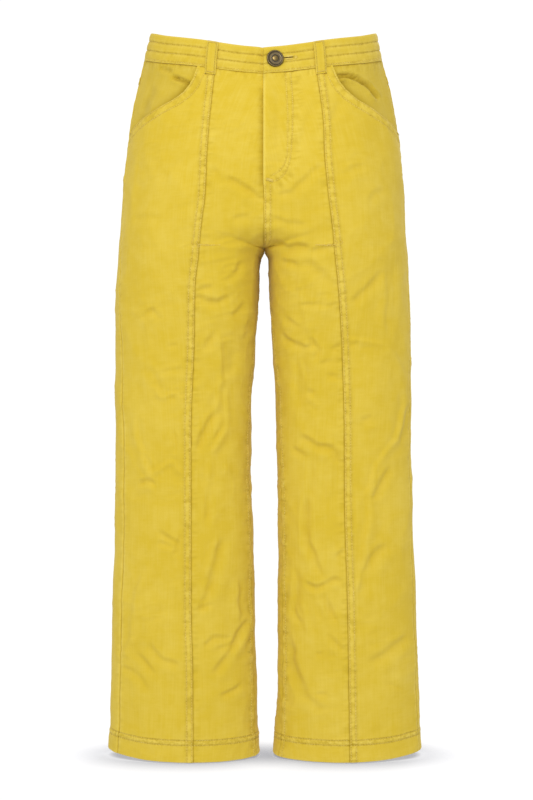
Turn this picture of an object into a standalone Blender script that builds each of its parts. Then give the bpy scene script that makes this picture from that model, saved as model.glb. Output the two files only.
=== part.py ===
"""Wide leg jeans in their worn shape, filled out with no wearer: hollow hips and legs of cotton twill.

Sizes here are millimetres, turned to metres when a mesh is made. The waist's centre is the origin, the
front faces -Y, +Z is up, and the wearer's left is +X. One garment surface is worked out from the sections
below. Each cloth piece is a stretch of that surface between its seams, moved in or out and given the
cloth's thickness. A point on the surface is named by its half, its drop below the waist's edge, and its
girth: 0 at the centre front or inner leg, 1 at the widest point of the side, 2 at the centre back.
"""

import math

import bpy
import numpy as np

MM = 0.001
LEFT = 1
RIGHT = -1

# Driving dimensions
BAND_DEPTH = 37.0
CROTCH_DROP = 291.0
HEM_DROP = 962.0
HEM_TURN = 29.0
FLY_LENGTH = 172.0
FLY_SET_BACK = 0.8
WALL = 1.3
BAND_WALL = 2.6
BAND_STANDS_OUT = 0.4
SEAM_GAP = 0.3
FRONT_RISE_CURVE = 62.0
BACK_RISE_CURVE = 95.0
WEB_BLEND = 3
LAP_TURN = 1.15
LAP_RISE = 0.6
LAP_WIDTH = 45.0
BUTTON_ACROSS = 13.5
BUTTON_DROP = 17.5
BUTTON_RADIUS = 11.2
LOOP_WIDTH = 14.0

# Each finish's colour, roughness and metallic value
COLOURS = {
    "twill": ((0.79, 0.58, 0.075, 1.0), 0.85, 0.0),
    "band_twill": ((0.76, 0.55, 0.07, 1.0), 0.85, 0.0),
    "pocket_twill": ((0.70, 0.50, 0.06, 1.0), 0.88, 0.0),
    "antique_metal": ((0.16, 0.13, 0.09, 1.0), 0.38, 0.9),
}


def table(columns, *rows):
    """Named columns of numbers, one row for each level or place."""
    return {name: np.array(cells, float) for name, cells in zip(columns.split(), zip(*rows))}


# Half widths and depths of the outer face, from the waist's edge down to the hem.
LEVELS = table(
    "drop outer_right outer_left inner_right inner_left front back",
    (0, 151.0, 149.5, 0.0, 0.0, 90, 98),
    (37, 160.5, 157.0, 0.0, 0.0, 95, 106),
    (76, 169.5, 167.0, 0.0, 0.0, 102, 117),
    (129, 180.0, 176.0, 0.0, 0.0, 109, 128),
    (196, 187.0, 184.5, 0.0, 0.0, 112, 134),
    (250, 191.0, 188.0, 0.0, 0.0, 108, 127),
    (291, 194.0, 190.5, 0.0, 0.0, 101, 114),
    (303, 195.0, 191.0, 6.0, 6.0, 99, 110),
    (357, 198.0, 192.5, 8.7, 7.4, 89, 97),
    (424, 199.0, 195.0, 12.7, 11.0, 77, 83),
    (491, 199.0, 195.0, 18.0, 16.8, 70, 74),
    (558, 198.0, 195.5, 19.4, 18.0, 66, 69),
    (625, 199.0, 197.5, 18.0, 19.4, 63, 66),
    (692, 200.3, 199.0, 15.4, 19.4, 62, 64),
    (759, 203.0, 201.7, 14.0, 19.4, 61, 62),
    (893, 205.7, 205.7, 11.4, 16.8, 60, 60),
    (934, 206.5, 207.0, 10.0, 15.5, 60, 60),
    (962, 208.0, 209.5, 8.0, 13.0, 62, 62),
)

# Where the front and the back stand out most, as a share of the way from the inner edge to the side, and
# how far the centre seams stand out, as a share of that depth.
FULLNESS = table(
    "drop front_place back_place front_centre back_centre",
    (0, 0.20, 0.25, 1.03, 1.00),
    (76, 0.25, 0.33, 1.03, 1.00),
    (150, 0.29, 0.39, 1.015, 0.985),
    (196, 0.32, 0.42, 1.00, 0.965),
    (250, 0.42, 0.47, 0.985, 0.95),
    (291, 0.50, 0.50, 0.985, 0.95),
    (962, 0.50, 0.50, 0.985, 0.95),
)

# How far the waist's edge and the hem rise above a level cut, round the girth.
EDGES = table(
    "girth waist hem",
    (0.0, -36.0, 0.0),
    (0.2, -31.5, -2.0),
    (0.42, -23.5, -3.0),
    (0.68, -14.0, -1.0),
    (0.88, -4.5, 4.0),
    (1.0, 0.0, 6.0),
    (1.12, 2.0, 4.5),
    (1.5, 0.0, 0.0),
    (2.0, -3.0, 0.0),
)
WAIST_EDGE_FADES = 230.0
HEM_EDGE_FADES = 180.0

# The long front seam, as its distance from the centre front.
FRONT_SEAM = table(
    "drop right left",
    (37, 64.0, 67.0),
    (84, 68.0, 72.6),
    (133, 71.5, 76.3),
    (176, 74.0, 77.5),
    (226, 76.0, 82.0),
    (268, 81.4, 87.5),
    (308, 85.5, 91.5),
    (344, 89.7, 95.5),
    (417, 91.5, 100.6),
    (530, 95.8, 104.4),
    (627, 96.0, 105.0),
    (763, 96.0, 109.0),
    (852, 94.0, 110.5),
    (962, 93.5, 112.0),
)

# How far the side seam lies in front of the widest point of the side.
SIDE_SEAM = table(
    "drop right left",
    (0, 8, 6),
    (137, 20, 15),
    (279, 30, 18),
    (357, 38, 20),
    (962, 35, 19),
)
INSEAM_FORWARD = {LEFT: 29.0, RIGHT: 22.0}
INSEAM_FADES = 110.0

# The pocket mouth, as a share of the way from the long front seam to the side seam.
POCKET_MOUTH = table(
    "share drop",
    (0.165, 37),
    (0.185, 47),
    (0.205, 58),
    (0.255, 72),
    (0.34, 85),
    (0.50, 100),
    (0.67, 114),
    (0.83, 125),
    (1.0, 137),
)
POCKET_BOTTOM_DROP = 214.0
POCKET_BOTTOM_CURVE = 46.0
# Columns of mesh that the outer panel and the pocket behind it share, so that both bend alike.
POCKET_COLUMNS = (0.16, 0.19, 0.23, 0.3, 0.42, 0.54, 0.66, 0.78, 0.89, 1.0)
POCKET_WALL = 1.0
POCKET_SET_BACK = 2.1
POCKET_GAPE = 2.0

# The yoke's lower seam, from the side seam (0) to the centre back (1).
YOKE_SEAM = table(
    "share drop",
    (0.0, 68),
    (0.5, 80),
    (1.0, 100),
)

# The largest folds: soft troughs (height below 0) and ridges, each from one place to another on the front
# or the back of a half, with a sideways bow.
FOLDS = table(
    "half face start_across start_drop end_across end_drop bow width height",
    (LEFT, 0, 8, 288, 86, 299, 3, 13, -3.5),
    (LEFT, 0, 52, 312, 88, 342, 0, 15, -3.5),
    (LEFT, 0, 12, 226, 70, 196, 5, 14, -3.0),
    (LEFT, 0, 24, 409, 64, 420, -3, 14, -3.5),
    (LEFT, 0, 84, 424, 156, 418, 4, 14, -2.0),
    (LEFT, 0, 46, 538, 92, 558, -3, 14, -3.5),
    (LEFT, 0, 52, 660, 76, 720, 0, 14, -3.5),
    (LEFT, 0, 54, 732, 98, 723, -5, 13, -3.0),
    (LEFT, 0, 139, 600, 116, 704, 6, 18, 3.0),
    (LEFT, 0, 156, 680, 121, 750, -8, 18, -3.5),
    (LEFT, 0, 33, 805, 56, 884, -3, 16, -3.0),
    (LEFT, 0, 119, 368, 152, 326, 0, 15, -2.0),
    (RIGHT, 0, 66, 194, 8, 238, -4, 14, -3.0),
    (RIGHT, 0, 30, 312, 61, 370, 4, 15, -2.5),
    (RIGHT, 0, 90, 355, 26, 362, 3, 15, -3.0),
    (RIGHT, 0, 36, 418, 53, 458, 0, 20, -4.0),
    (RIGHT, 0, 62, 503, 89, 555, 0, 13, -3.0),
    (RIGHT, 0, 48, 474, 73, 620, 5, 15, 3.0),
    (RIGHT, 0, 174, 515, 150, 590, 4, 16, 3.0),
    (RIGHT, 0, 168, 600, 140, 600, 2, 13, -3.0),
    (RIGHT, 0, 56, 672, 74, 745, -3, 18, -3.0),
    (RIGHT, 0, 31, 788, 69, 856, 4, 16, -3.0),
    (RIGHT, 0, 152, 812, 106, 836, 5, 15, -2.5),
    (LEFT, 1, 22, 246, 96, 286, -6, 16, -3.5),
    (LEFT, 1, 30, 300, 110, 330, 5, 18, -3.0),
    (LEFT, 1, 150, 392, 86, 452, -5, 16, -3.0),
    (LEFT, 1, 60, 560, 104, 640, 4, 18, -3.0),
    (LEFT, 1, 120, 700, 76, 800, 6, 19, -3.0),
    (RIGHT, 1, 18, 252, 88, 298, -5, 16, -3.5),
    (RIGHT, 1, 36, 312, 120, 350, 5, 18, -3.0),
    (RIGHT, 1, 140, 430, 70, 476, -4, 16, -3.0),
    (RIGHT, 1, 128, 580, 88, 670, 5, 18, 3.0),
    (RIGHT, 1, 52, 742, 108, 826, 6, 19, -3.0),
)
FOLDS_START_BELOW = (45.0, 120.0)

# A belt loop's inner face, above the garment surface along its length.
LOOP_PROFILE = table(
    "drop stands_out",
    (0.6, 0.8),
    (5, 1.9),
    (15, 2.7),
    (27, 2.5),
    (34, 1.5),
    (39, 0.8),
    (43, 0.35),
    (47, 0.35),
)
LOOP_WALL = 1.8
LOOP_LENGTH = 47.0
# Distance from the centre at the waist's edge, and how far the loop leans out on its way down.
FRONT_LOOPS = {LEFT: (69.5, 4.0), RIGHT: (66.0, 4.0)}
BACK_LOOP_ACROSS = 96.0

# Steps along the surface over which its facing is measured, and the steepest slope that it follows.
NEAR_GIRTH = 0.006
NEAR_DROP = 2.0
MOST_TILT = 2.5

# Rows of mesh on the leg panels: closer together round the crotch, where the rise curves under.
UPPER_ROWS = (175, 195, 213, 230, 245, 258, 269, 278, 285, 289.5, CROTCH_DROP)
CROTCH_ROWS = (293, 297, 304, 317, 335)
LEG_ROW_STEP = 25.0
FIRST_LEVEL_ROW = 156.0


def smooth(stations, cells, at):
    """A curve through the cells with no overshoot between them (a monotone cubic)."""
    at = np.clip(at, stations[0], stations[-1])
    step = np.diff(stations)
    slope = np.diff(cells) / step
    tangent = np.concatenate([slope[:1], np.zeros(len(cells) - 2), slope[-1:]])
    same_way = slope[1:] * slope[:-1] > 0
    total = np.where(same_way, slope[1:] + slope[:-1], 1.0)
    tangent[1:-1] = np.where(same_way, 2 * slope[1:] * slope[:-1] / total, 0.0)
    i = np.clip(np.searchsorted(stations, at, side="right") - 1, 0, len(step) - 1)
    h = (at - stations[i]) / step[i]
    rise = h * h * (3 - 2 * h)
    start_pull = h * (1 - h) ** 2 * step[i] * tangent[i]
    end_pull = h * h * (h - 1) * step[i] * tangent[i + 1]
    return cells[i] * (1 - rise) + cells[i + 1] * rise + start_pull + end_pull


def ease(value):
    """0 below 0, 1 above 1, and a smooth step between."""
    value = np.clip(value, 0.0, 1.0)
    return value * value * (3 - 2 * value)


def level(columns, name, drop):
    return smooth(columns["drop"], columns[name], drop)


def rise_share(drop, curve, centre):
    """How far the centre seam stands out at a level: none at the crotch, all of it above the rise's curve."""
    climb = np.clip((CROTCH_DROP - drop) / curve, 0.0, 1.0)
    return centre * math.sqrt(1 - (1 - climb) ** 2)


def quarter(inner, place, outer, depth, share):
    """One quarter of a half section, from its inner end round to the widest point of the side."""
    bend = np.linspace(0.0, math.pi / 2, 90)
    inner_across = inner + (place - inner) * (1 - np.cos(bend))
    web = share**WEB_BLEND
    inner_out = depth * (web + (1 - web) * np.sin(bend) ** WEB_BLEND) ** (1 / WEB_BLEND)
    outer_across = place + (outer - place) * np.sin(bend)
    outer_out = depth * np.cos(bend)
    return np.concatenate([inner_across, outer_across[1:]]), np.concatenate([inner_out, outer_out[1:]])


def by_length(across, out, count):
    """The same curve with its points evenly spaced, and its length."""
    length = np.concatenate([[0.0], np.cumsum(np.hypot(np.diff(across), np.diff(out)))])
    even = np.linspace(0.0, length[-1], count)
    return np.interp(even, length, across), np.interp(even, length, out), length[-1]


class Half:
    """The garment surface of one half, as sections at many levels that are read by drop and girth."""

    GIRTH_STEPS = 160

    def __init__(self, side):
        self.side = side
        name = "left" if side == LEFT else "right"
        self.name = name
        above_crotch = CROTCH_DROP - np.geomspace(0.05, 60, 50)
        below_crotch = CROTCH_DROP + np.arange(0, 14, 0.5)
        evenly = np.append(np.arange(0, HEM_DROP, 5.0), HEM_DROP)
        self.drops = np.unique(np.concatenate([evenly, above_crotch, below_crotch]))
        across = []
        out = []
        self.front_arc = []
        self.back_arc = []
        faces = (("front", FRONT_RISE_CURVE, self.front_arc), ("back", BACK_RISE_CURVE, self.back_arc))
        for drop in self.drops:
            inner = level(LEVELS, "inner_" + name, drop)
            outer = level(LEVELS, "outer_" + name, drop)
            ends = []
            for face, curve, arc in faces:
                place = inner + (outer - inner) * level(FULLNESS, face + "_place", drop)
                share = rise_share(drop, curve, level(FULLNESS, face + "_centre", drop))
                points = quarter(inner, place, outer, level(LEVELS, face, drop), share)
                even_across, even_out, length = by_length(*points, self.GIRTH_STEPS + 1)
                arc.append(length)
                ends.append((even_across, even_out))
            (front_across, front_out), (back_across, back_out) = ends
            across.append(np.concatenate([front_across, back_across[-2::-1]]))
            out.append(np.concatenate([-front_out, back_out[-2::-1]]))
        self.across = np.array(across)
        self.out = np.array(out)

    def read(self, grid, drop, girth):
        """A value of the sections between their levels and points."""
        row = np.clip(np.searchsorted(self.drops, drop, side="right") - 1, 0, len(self.drops) - 2)
        down = np.clip((drop - self.drops[row]) / (self.drops[row + 1] - self.drops[row]), 0.0, 1.0)
        place = np.where(girth > 2, girth - 2, girth) * self.GIRTH_STEPS
        column = np.clip(np.floor(place).astype(int), 0, grid.shape[1] - 2)
        along = np.clip(place - column, 0.0, 1.0)
        upper = grid[row, column] * (1 - along) + grid[row, column + 1] * along
        lower = grid[row + 1, column] * (1 - along) + grid[row + 1, column + 1] * along
        return upper * (1 - down) + lower * down

    def lift(self, drop, girth):
        """How far the edge's own line raises this point: all of it at the edge, fading over the cloth."""
        girth = np.where(girth > 2, girth - 2, girth)
        waist = smooth(EDGES["girth"], EDGES["waist"], girth) * (1 - ease(drop / WAIST_EDGE_FADES))
        hem = smooth(EDGES["girth"], EDGES["hem"], girth) * ease((drop - HEM_DROP) / HEM_EDGE_FADES + 1)
        return waist + hem

    def place(self, drop, girth, stands_out=0.0):
        """The points at these drops and girths, moved out from the surface, as an array of x, y, z."""
        drop, girth = np.broadcast_arrays(np.asarray(drop, float), np.asarray(girth, float))
        across = self.read(self.across, drop, girth)
        out = self.read(self.out, drop, girth)
        around = drop > CROTCH_DROP
        ahead = np.where(around, girth + NEAR_GIRTH, np.minimum(girth + NEAR_GIRTH, 2))
        wrapped = np.where(girth < NEAR_GIRTH, girth + 2 - NEAR_GIRTH, girth - NEAR_GIRTH)
        behind = np.where(around, wrapped, np.maximum(girth - NEAR_GIRTH, 0))
        along_across = self.read(self.across, drop, ahead) - self.read(self.across, drop, behind)
        along_out = self.read(self.out, drop, ahead) - self.read(self.out, drop, behind)
        run = np.hypot(along_across, along_out)
        facing_across = along_out / run
        facing_out = -along_across / run
        lower, upper = drop + NEAR_DROP, drop - NEAR_DROP
        down_across = self.read(self.across, lower, girth) - self.read(self.across, upper, girth)
        down_out = self.read(self.out, lower, girth) - self.read(self.out, upper, girth)
        tilt = (facing_across * down_across + facing_out * down_out) / (2 * NEAR_DROP)
        tilt = np.clip(tilt, -MOST_TILT, MOST_TILT)
        size = np.sqrt(1 + tilt * tilt)
        moved = stands_out + self.folds(drop, across, out)
        across = np.maximum(across + facing_across / size * moved, SEAM_GAP / 2)
        out = out + facing_out / size * moved
        height = self.lift(drop, girth) - drop + tilt / size * moved
        return np.stack([across * self.side, out, height], axis=-1)

    def folds(self, drop, across, out):
        total = np.zeros(np.shape(drop))
        for half, face, x0, y0, x1, y1, bow, width, height in zip(*FOLDS.values()):
            if half != self.side:
                continue
            run = math.hypot(x1 - x0, y1 - y0)
            ahead = ((x1 - x0) / run, (y1 - y0) / run)
            along = ((across - x0) * ahead[0] + (drop - y0) * ahead[1]) / run
            bent = bow * 4 * along * (1 - along)
            aside = (across - x0) * ahead[1] - (drop - y0) * ahead[0] - bent
            ends = ease(along / 0.25 + 0.5) * ease((1 - along) / 0.25 + 0.5)
            facing = ease(out / 20 if face else -out / 20)
            total += height * np.exp(-((aside / width) ** 2)) * ends * facing
        top, full = FOLDS_START_BELOW
        return total * ease((drop - top) / (full - top))

    def girth_across(self, drop, across):
        """The girth at which the front lies this far from the centre, at each of the drops."""
        fine = np.linspace(0.0, 1.0, self.GIRTH_STEPS + 1)
        found = []
        drops = np.atleast_1d(drop)
        for one_drop, one_across in zip(drops, np.broadcast_to(across, drops.shape)):
            found.append(np.interp(one_across, self.read(self.across, one_drop, fine), fine))
        return np.array(found)

    def arc(self, drop, back=False):
        return np.interp(drop, self.drops, self.back_arc if back else self.front_arc)

    def front_seam(self, drop):
        return self.girth_across(drop, level(FRONT_SEAM, self.name, drop))

    def side_seam(self, drop):
        return 1 - level(SIDE_SEAM, self.name, drop) / self.arc(drop)

    def inseam(self, drop):
        """The inner end of the front: the centre seam down to the crotch, then the inseam."""
        forward = INSEAM_FORWARD[self.side] * ease((drop - CROTCH_DROP) / INSEAM_FADES)
        return forward / self.arc(drop)


def leg_drops():
    """The drops that the leg panels share, from below the pocket down to the hem."""
    turn = HEM_DROP - HEM_TURN
    count = round((turn - CROTCH_ROWS[-1]) / LEG_ROW_STEP)
    leg = np.linspace(CROTCH_ROWS[-1], turn, count + 1)[1:]
    return np.array([FIRST_LEVEL_ROW, *UPPER_ROWS, *CROTCH_ROWS, *leg, turn + 1.5, HEM_DROP - 14, HEM_DROP])


def hem_wall(drop):
    """The cloth's thickness, doubled where the hem is turned up."""
    return np.where(drop > HEM_DROP - HEM_TURN + 1, 2 * WALL, WALL)


def material(name):
    made = bpy.data.materials.get(name) or bpy.data.materials.new(name)
    colour, roughness, metallic = COLOURS[name]
    made.use_nodes = True
    shader = made.node_tree.nodes["Principled BSDF"]
    shader.inputs["Base Color"].default_value = colour
    shader.inputs["Roughness"].default_value = roughness
    shader.inputs["Metallic"].default_value = metallic
    return made


def add_object(name, points, faces, finish):
    """A named object from points in millimetres, with its faces turned to point out."""
    points = np.asarray(points, float)
    volume = 0.0
    for face in faces:
        for i in range(1, len(face) - 1):
            volume += np.dot(points[face[0]], np.cross(points[face[i]], points[face[i + 1]]))
    if volume < 0:
        faces = [tuple(reversed(face)) for face in faces]
    mesh = bpy.data.meshes.new(name)
    mesh.from_pydata([tuple(point * MM) for point in points], [], [tuple(map(int, face)) for face in faces])
    mesh.validate()
    mesh.materials.append(material(finish))
    mesh.shade_smooth()
    mesh.set_sharp_from_angle(angle=math.radians(40))
    made = bpy.data.objects.new(name, mesh)
    bpy.context.scene.collection.objects.link(made)
    return made


def cloth(name, outer, inner, finish):
    """A closed piece of cloth from the grids of its outer and inner faces."""
    rows, columns = outer.shape[:2]
    points = np.concatenate([outer.reshape(-1, 3), inner.reshape(-1, 3)])
    under = rows * columns

    def at(row, column):
        return row * columns + column

    faces = []
    for row in range(rows - 1):
        for column in range(columns - 1):
            corners = (at(row, column), at(row, column + 1), at(row + 1, column + 1), at(row + 1, column))
            faces.append(corners)
            faces.append(tuple(under + corner for corner in reversed(corners)))
    rim = [at(0, column) for column in range(columns)]
    rim += [at(row, columns - 1) for row in range(1, rows)]
    rim += [at(rows - 1, column) for column in range(columns - 2, -1, -1)]
    rim += [at(row, 0) for row in range(rows - 2, 0, -1)]
    for here, there in zip(rim, rim[1:] + rim[:1]):
        faces.append((there, here, under + here, under + there))
    return add_object(name, points, faces, finish)


def spread(start, end, shares):
    """Rows of values from start to end at these shares: one row for each start."""
    start = np.asarray(start, float)[:, None]
    end = np.asarray(end, float)[:, None]
    return start + (end - start) * np.asarray(shares, float)[None, :]


def fly_line(drop):
    """How far the lapped edge reaches over the centre to the wearer's right: the width of its turn."""
    return LAP_TURN * (1 - ease((drop - BAND_DEPTH - FLY_LENGTH) / 14))


def lap_rise(drop, across):
    """The lapped front stands proud along the fly."""
    return LAP_RISE * (1 - ease(across / LAP_WIDTH)) * (1 - ease((drop - BAND_DEPTH - FLY_LENGTH) / 25))


def to_centre_front(half, grids, drop):
    """Sets the first column on the centre front, above the crotch: the lapped edge, then the seam."""
    above = drop < CROTCH_DROP - 1
    for grid in grids:
        grid[above, 0, 0] = half.side * SEAM_GAP / 2 - fly_line(drop[above])


def front_inner(half):
    """The leg panel between the centre front, or the inseam, and the long front seam."""
    top = BAND_DEPTH + SEAM_GAP / 2
    drop = np.concatenate([np.linspace(top, FIRST_LEVEL_ROW, 6)[:-1], leg_drops()])
    gap = SEAM_GAP / 2 / half.arc(drop)
    girth = spread(half.inseam(drop) + gap, half.front_seam(drop) - gap, (0, 0.1, 0.26, 0.48, 0.74, 1))
    drops = np.broadcast_to(drop[:, None], girth.shape)
    proud = lap_rise(drops, half.read(half.across, drops, girth)) if half.side == LEFT else 0.0
    outer = half.place(drops, girth, proud)
    inner = half.place(drops, girth, proud - hem_wall(drops))
    to_centre_front(half, (outer, inner), drop)
    cloth("front_inner_" + half.name, outer, inner, "twill")


def mouth_drop(share):
    """The top of the outer panel: the waistband's seam, then the pocket mouth down to the side seam."""
    curve = smooth(POCKET_MOUTH["share"], POCKET_MOUTH["drop"], share)
    return np.where(share < POCKET_MOUTH["share"][0], BAND_DEPTH, curve) + SEAM_GAP / 2


def front_outer(half):
    """The leg panel between the long front seam and the side seam, cut away at the pocket mouth."""
    shares = np.array([0.0, *POCKET_COLUMNS])
    tops = mouth_drop(shares)
    upper = tops + (FIRST_LEVEL_ROW - tops) * np.linspace(0, 1, 6)[:-1, None]
    level_rows = np.broadcast_to(leg_drops()[:, None], (len(leg_drops()), len(shares)))
    drops = np.concatenate([upper, level_rows])
    flat = drops.ravel()
    gap = SEAM_GAP / 2 / half.arc(flat)
    start = (half.front_seam(flat) + gap).reshape(drops.shape)
    end = (half.side_seam(flat) - gap).reshape(drops.shape)
    girth = start + (end - start) * shares
    outer = half.place(drops, girth)
    inner = half.place(drops, girth, -hem_wall(drops))
    cloth("front_outer_" + half.name, outer, inner, "twill")


def pocket(half):
    """The hip piece seen in the pocket mouth, run down behind the panel as the pocket's back."""
    shares = np.array([0.09, *POCKET_COLUMNS])
    bottoms = POCKET_BOTTOM_DROP - POCKET_BOTTOM_CURVE * ((shares - 0.5) / 0.5) ** 2
    top = BAND_DEPTH + SEAM_GAP / 2
    drops = top + (bottoms - top) * np.linspace(0, 1, 10)[:, None]
    flat = drops.ravel()
    start = half.front_seam(flat).reshape(drops.shape)
    end = (half.side_seam(flat) - SEAM_GAP / 2 / half.arc(flat)).reshape(drops.shape)
    girth = start + (end - start) * shares
    open_part = ease((drops - BAND_DEPTH) / 30) * ease((1 - shares) / 0.25) * (1 - ease((drops - 140) / 40))
    set_back = -POCKET_SET_BACK - POCKET_GAPE * open_part
    outer = half.place(drops, girth, set_back)
    inner = half.place(drops, girth, set_back - POCKET_WALL)
    cloth("pocket_" + half.name, outer, inner, "pocket_twill")


def back_shares():
    return np.concatenate([np.linspace(0, 0.86, 11), [0.93, 0.975, 1.0]])


def seat_seams(half, drops):
    """The girths of the side seam and of the centre back or inseam, at a grid of drops."""
    flat = drops.ravel()
    start = half.side_seam(flat) + SEAM_GAP / 2 / half.arc(flat)
    end = 2 + half.inseam(flat) - SEAM_GAP / 2 / half.arc(flat, back=True)
    return start.reshape(drops.shape), end.reshape(drops.shape)


def to_centre_back(half, grids, drops):
    """Sets the last column on the centre back seam, above the crotch."""
    above = drops[:, -1] < CROTCH_DROP - 1
    for grid in grids:
        grid[above, -1, 0] = half.side * SEAM_GAP / 2


def yoke_drop(share):
    return smooth(YOKE_SEAM["share"], YOKE_SEAM["drop"], share)


def back(half):
    """The back leg panel, from the yoke to the hem and from the side seam round to the inseam."""
    shares = back_shares()
    tops = yoke_drop(shares) + SEAM_GAP / 2
    upper = tops + (FIRST_LEVEL_ROW - tops) * np.linspace(0, 1, 5)[:-1, None]
    level_rows = np.broadcast_to(leg_drops()[:, None], (len(leg_drops()), len(shares)))
    drops = np.concatenate([upper, level_rows])
    start, end = seat_seams(half, drops)
    girth = start + (end - start) * shares
    outer = half.place(drops, girth)
    inner = half.place(drops, girth, -hem_wall(drops))
    to_centre_back(half, (outer, inner), drops)
    cloth("back_" + half.name, outer, inner, "twill")


def yoke(half):
    """The shaped piece between the waistband and the back leg panel."""
    shares = back_shares()
    top = BAND_DEPTH + SEAM_GAP / 2
    drops = top + (yoke_drop(shares) - SEAM_GAP / 2 - top) * np.linspace(0, 1, 4)[:, None]
    start, end = seat_seams(half, drops)
    girth = start + (end - start) * shares
    outer = half.place(drops, girth)
    inner = half.place(drops, girth, -WALL)
    to_centre_back(half, (outer, inner), drops)
    cloth("yoke_" + half.name, outer, inner, "twill")


BAND_ROWS = (0, 0.33, 0.66, 1)
LAP_STANDS_OUT = 1.0


def band_rise(half, drop, girth):
    """The band stands a little out from the panels, and the lapped end lies over the underlap."""
    across = half.read(half.across, drop, girth)
    past_underlap = (across - UNDERLAP_ACROSS - 2) / 22
    lapped = LAP_STANDS_OUT * (1 - ease(past_underlap)) if half.side == LEFT else 0.0
    return BAND_STANDS_OUT + np.where(girth < 1, lapped, 0.0)


def band_girths():
    """Closer together at the centre front, where the ends lap."""
    return np.concatenate([[0, 0.03, 0.075, 0.14, 0.22, 0.31], np.linspace(0.4, 2.0, 17)])


def band_drops():
    return np.array(BAND_ROWS) * (BAND_DEPTH - SEAM_GAP / 2)


def waistband_left():
    """The band's left half, with the lapped end and its buttonhole."""
    half = SURFACE[LEFT]
    drops, girth = np.meshgrid(band_drops(), band_girths(), indexing="ij")
    rise = band_rise(half, drops, girth)
    outer = half.place(drops, girth, rise)
    inner = half.place(drops, girth, rise - BAND_WALL)
    to_centre_front(half, (outer, inner), band_drops())
    for grid in (outer, inner):
        grid[:, -1, 0] = SEAM_GAP / 2
    band = cloth("waistband_left", outer, inner, "band_twill")
    cutter = keyhole_cutter()
    hole = band.modifiers.new("buttonhole", "BOOLEAN")
    hole.operation = "DIFFERENCE"
    hole.object = cutter


UNDERLAP_ACROSS = 40.0
UNDERLAP_OUTER = LAP_STANDS_OUT + BAND_STANDS_OUT - BAND_WALL - SEAM_GAP


def waistband_right():
    """The band's right half, which steps in at the centre front and runs under the lapped end."""
    right = SURFACE[RIGHT]
    left = SURFACE[LEFT]
    drop_row = band_drops()
    drops, girth = np.meshgrid(drop_row, np.append(band_girths()[:0:-1], 0.013), indexing="ij")
    across = right.read(right.across, drops, girth)
    step_in = np.where(girth < 1, 1 - ease((across - 3) / 6), 0.0)
    rise = BAND_STANDS_OUT + (UNDERLAP_OUTER - BAND_STANDS_OUT) * step_in
    outer_right = right.place(drops, girth, rise)
    inner_right = right.place(drops, girth, rise - BAND_WALL)
    for grid in (outer_right, inner_right):
        grid[:, 0, 0] = -SEAM_GAP / 2
    under_across = np.array([2.5, 10.0, 20.0, 30.0, UNDERLAP_ACROSS])
    lapped = np.array([[left.girth_across(drop, x)[0] for x in under_across] for drop in drop_row])
    under_drops = np.broadcast_to(drop_row[:, None], lapped.shape)
    outer_left = left.place(under_drops, lapped, UNDERLAP_OUTER)
    inner_left = left.place(under_drops, lapped, UNDERLAP_OUTER - BAND_WALL)
    outer = np.concatenate([outer_right, outer_left], axis=1)
    inner = np.concatenate([inner_right, inner_left], axis=1)
    cloth("waistband_right", outer, inner, "band_twill")


UNDERLAP_COLUMNS = (-24.0, -14.0, -5.0, 5.0, 14.0, 24.0, 33.0)
UNDERLAP_WALL = 1.6
FLY_WIDTH = 41.0
FLY_FOOT_CURVE = 14.0


def fly_underlap():
    """The doubled strip behind the lapped front edge, from the waistband's seam to the foot of the fly."""
    drop_row = np.linspace(BAND_DEPTH + 2 * SEAM_GAP, BAND_DEPTH + FLY_LENGTH - 6, 9)
    set_back = -WALL - FLY_SET_BACK
    columns = []
    for across in (*UNDERLAP_COLUMNS, FLY_WIDTH):
        half = SURFACE[LEFT if across > 0 else RIGHT]
        foot = drop_row - ease((drop_row - 150) / 60) * (abs(across) / FLY_WIDTH) ** 2 * FLY_FOOT_CURVE
        girth = half.girth_across(foot, abs(across))
        columns.append([half.place(foot, girth, set_back), half.place(foot, girth, set_back - UNDERLAP_WALL)])
    outer = np.stack([column[0] for column in columns], axis=1)
    inner = np.stack([column[1] for column in columns], axis=1)
    cloth("fly_underlap", outer, inner, "twill")


def belt_loop(name, columns):
    """A folded strip that stands off the waistband. Each column gives its half and its girth at a drop."""
    drop_row = np.linspace(LOOP_PROFILE["drop"][0], LOOP_LENGTH, 10)
    stands_out = smooth(LOOP_PROFILE["drop"], LOOP_PROFILE["stands_out"], drop_row)
    outer = []
    inner = []
    for half, girth_at in columns:
        girth = girth_at(drop_row)
        inner.append(half.place(drop_row, girth, stands_out))
        outer.append(half.place(drop_row, girth, stands_out + LOOP_WALL))
    cloth(name, np.stack(outer, axis=1), np.stack(inner, axis=1), "band_twill")


def front_loop(half):
    across, lean = FRONT_LOOPS[half.side]

    def column(aside):
        return lambda drop: half.girth_across(drop, across + aside + lean * drop / LOOP_LENGTH)

    asides = (-LOOP_WIDTH / 2, 0, LOOP_WIDTH / 2)
    belt_loop("loop_front_" + half.name, [(half, column(aside)) for aside in asides])


def back_loop(half):
    middle = 2 - BACK_LOOP_ACROSS / half.arc(20.0, back=True)

    def column(aside):
        return lambda drop: middle + aside / half.arc(drop, back=True)

    asides = (-LOOP_WIDTH / 2, 0, LOOP_WIDTH / 2)
    belt_loop("loop_back_" + half.name, [(half, column(aside)) for aside in asides])


def centre_back_loop():
    def column(half, aside):
        return half, lambda drop: 2 - aside / half.arc(drop, back=True)

    edge = LOOP_WIDTH / 2
    places = ((LEFT, edge), (LEFT, 2.5), (RIGHT, 2.5), (RIGHT, edge))
    belt_loop("loop_centre_back", [column(SURFACE[side], aside) for side, aside in places])


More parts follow.
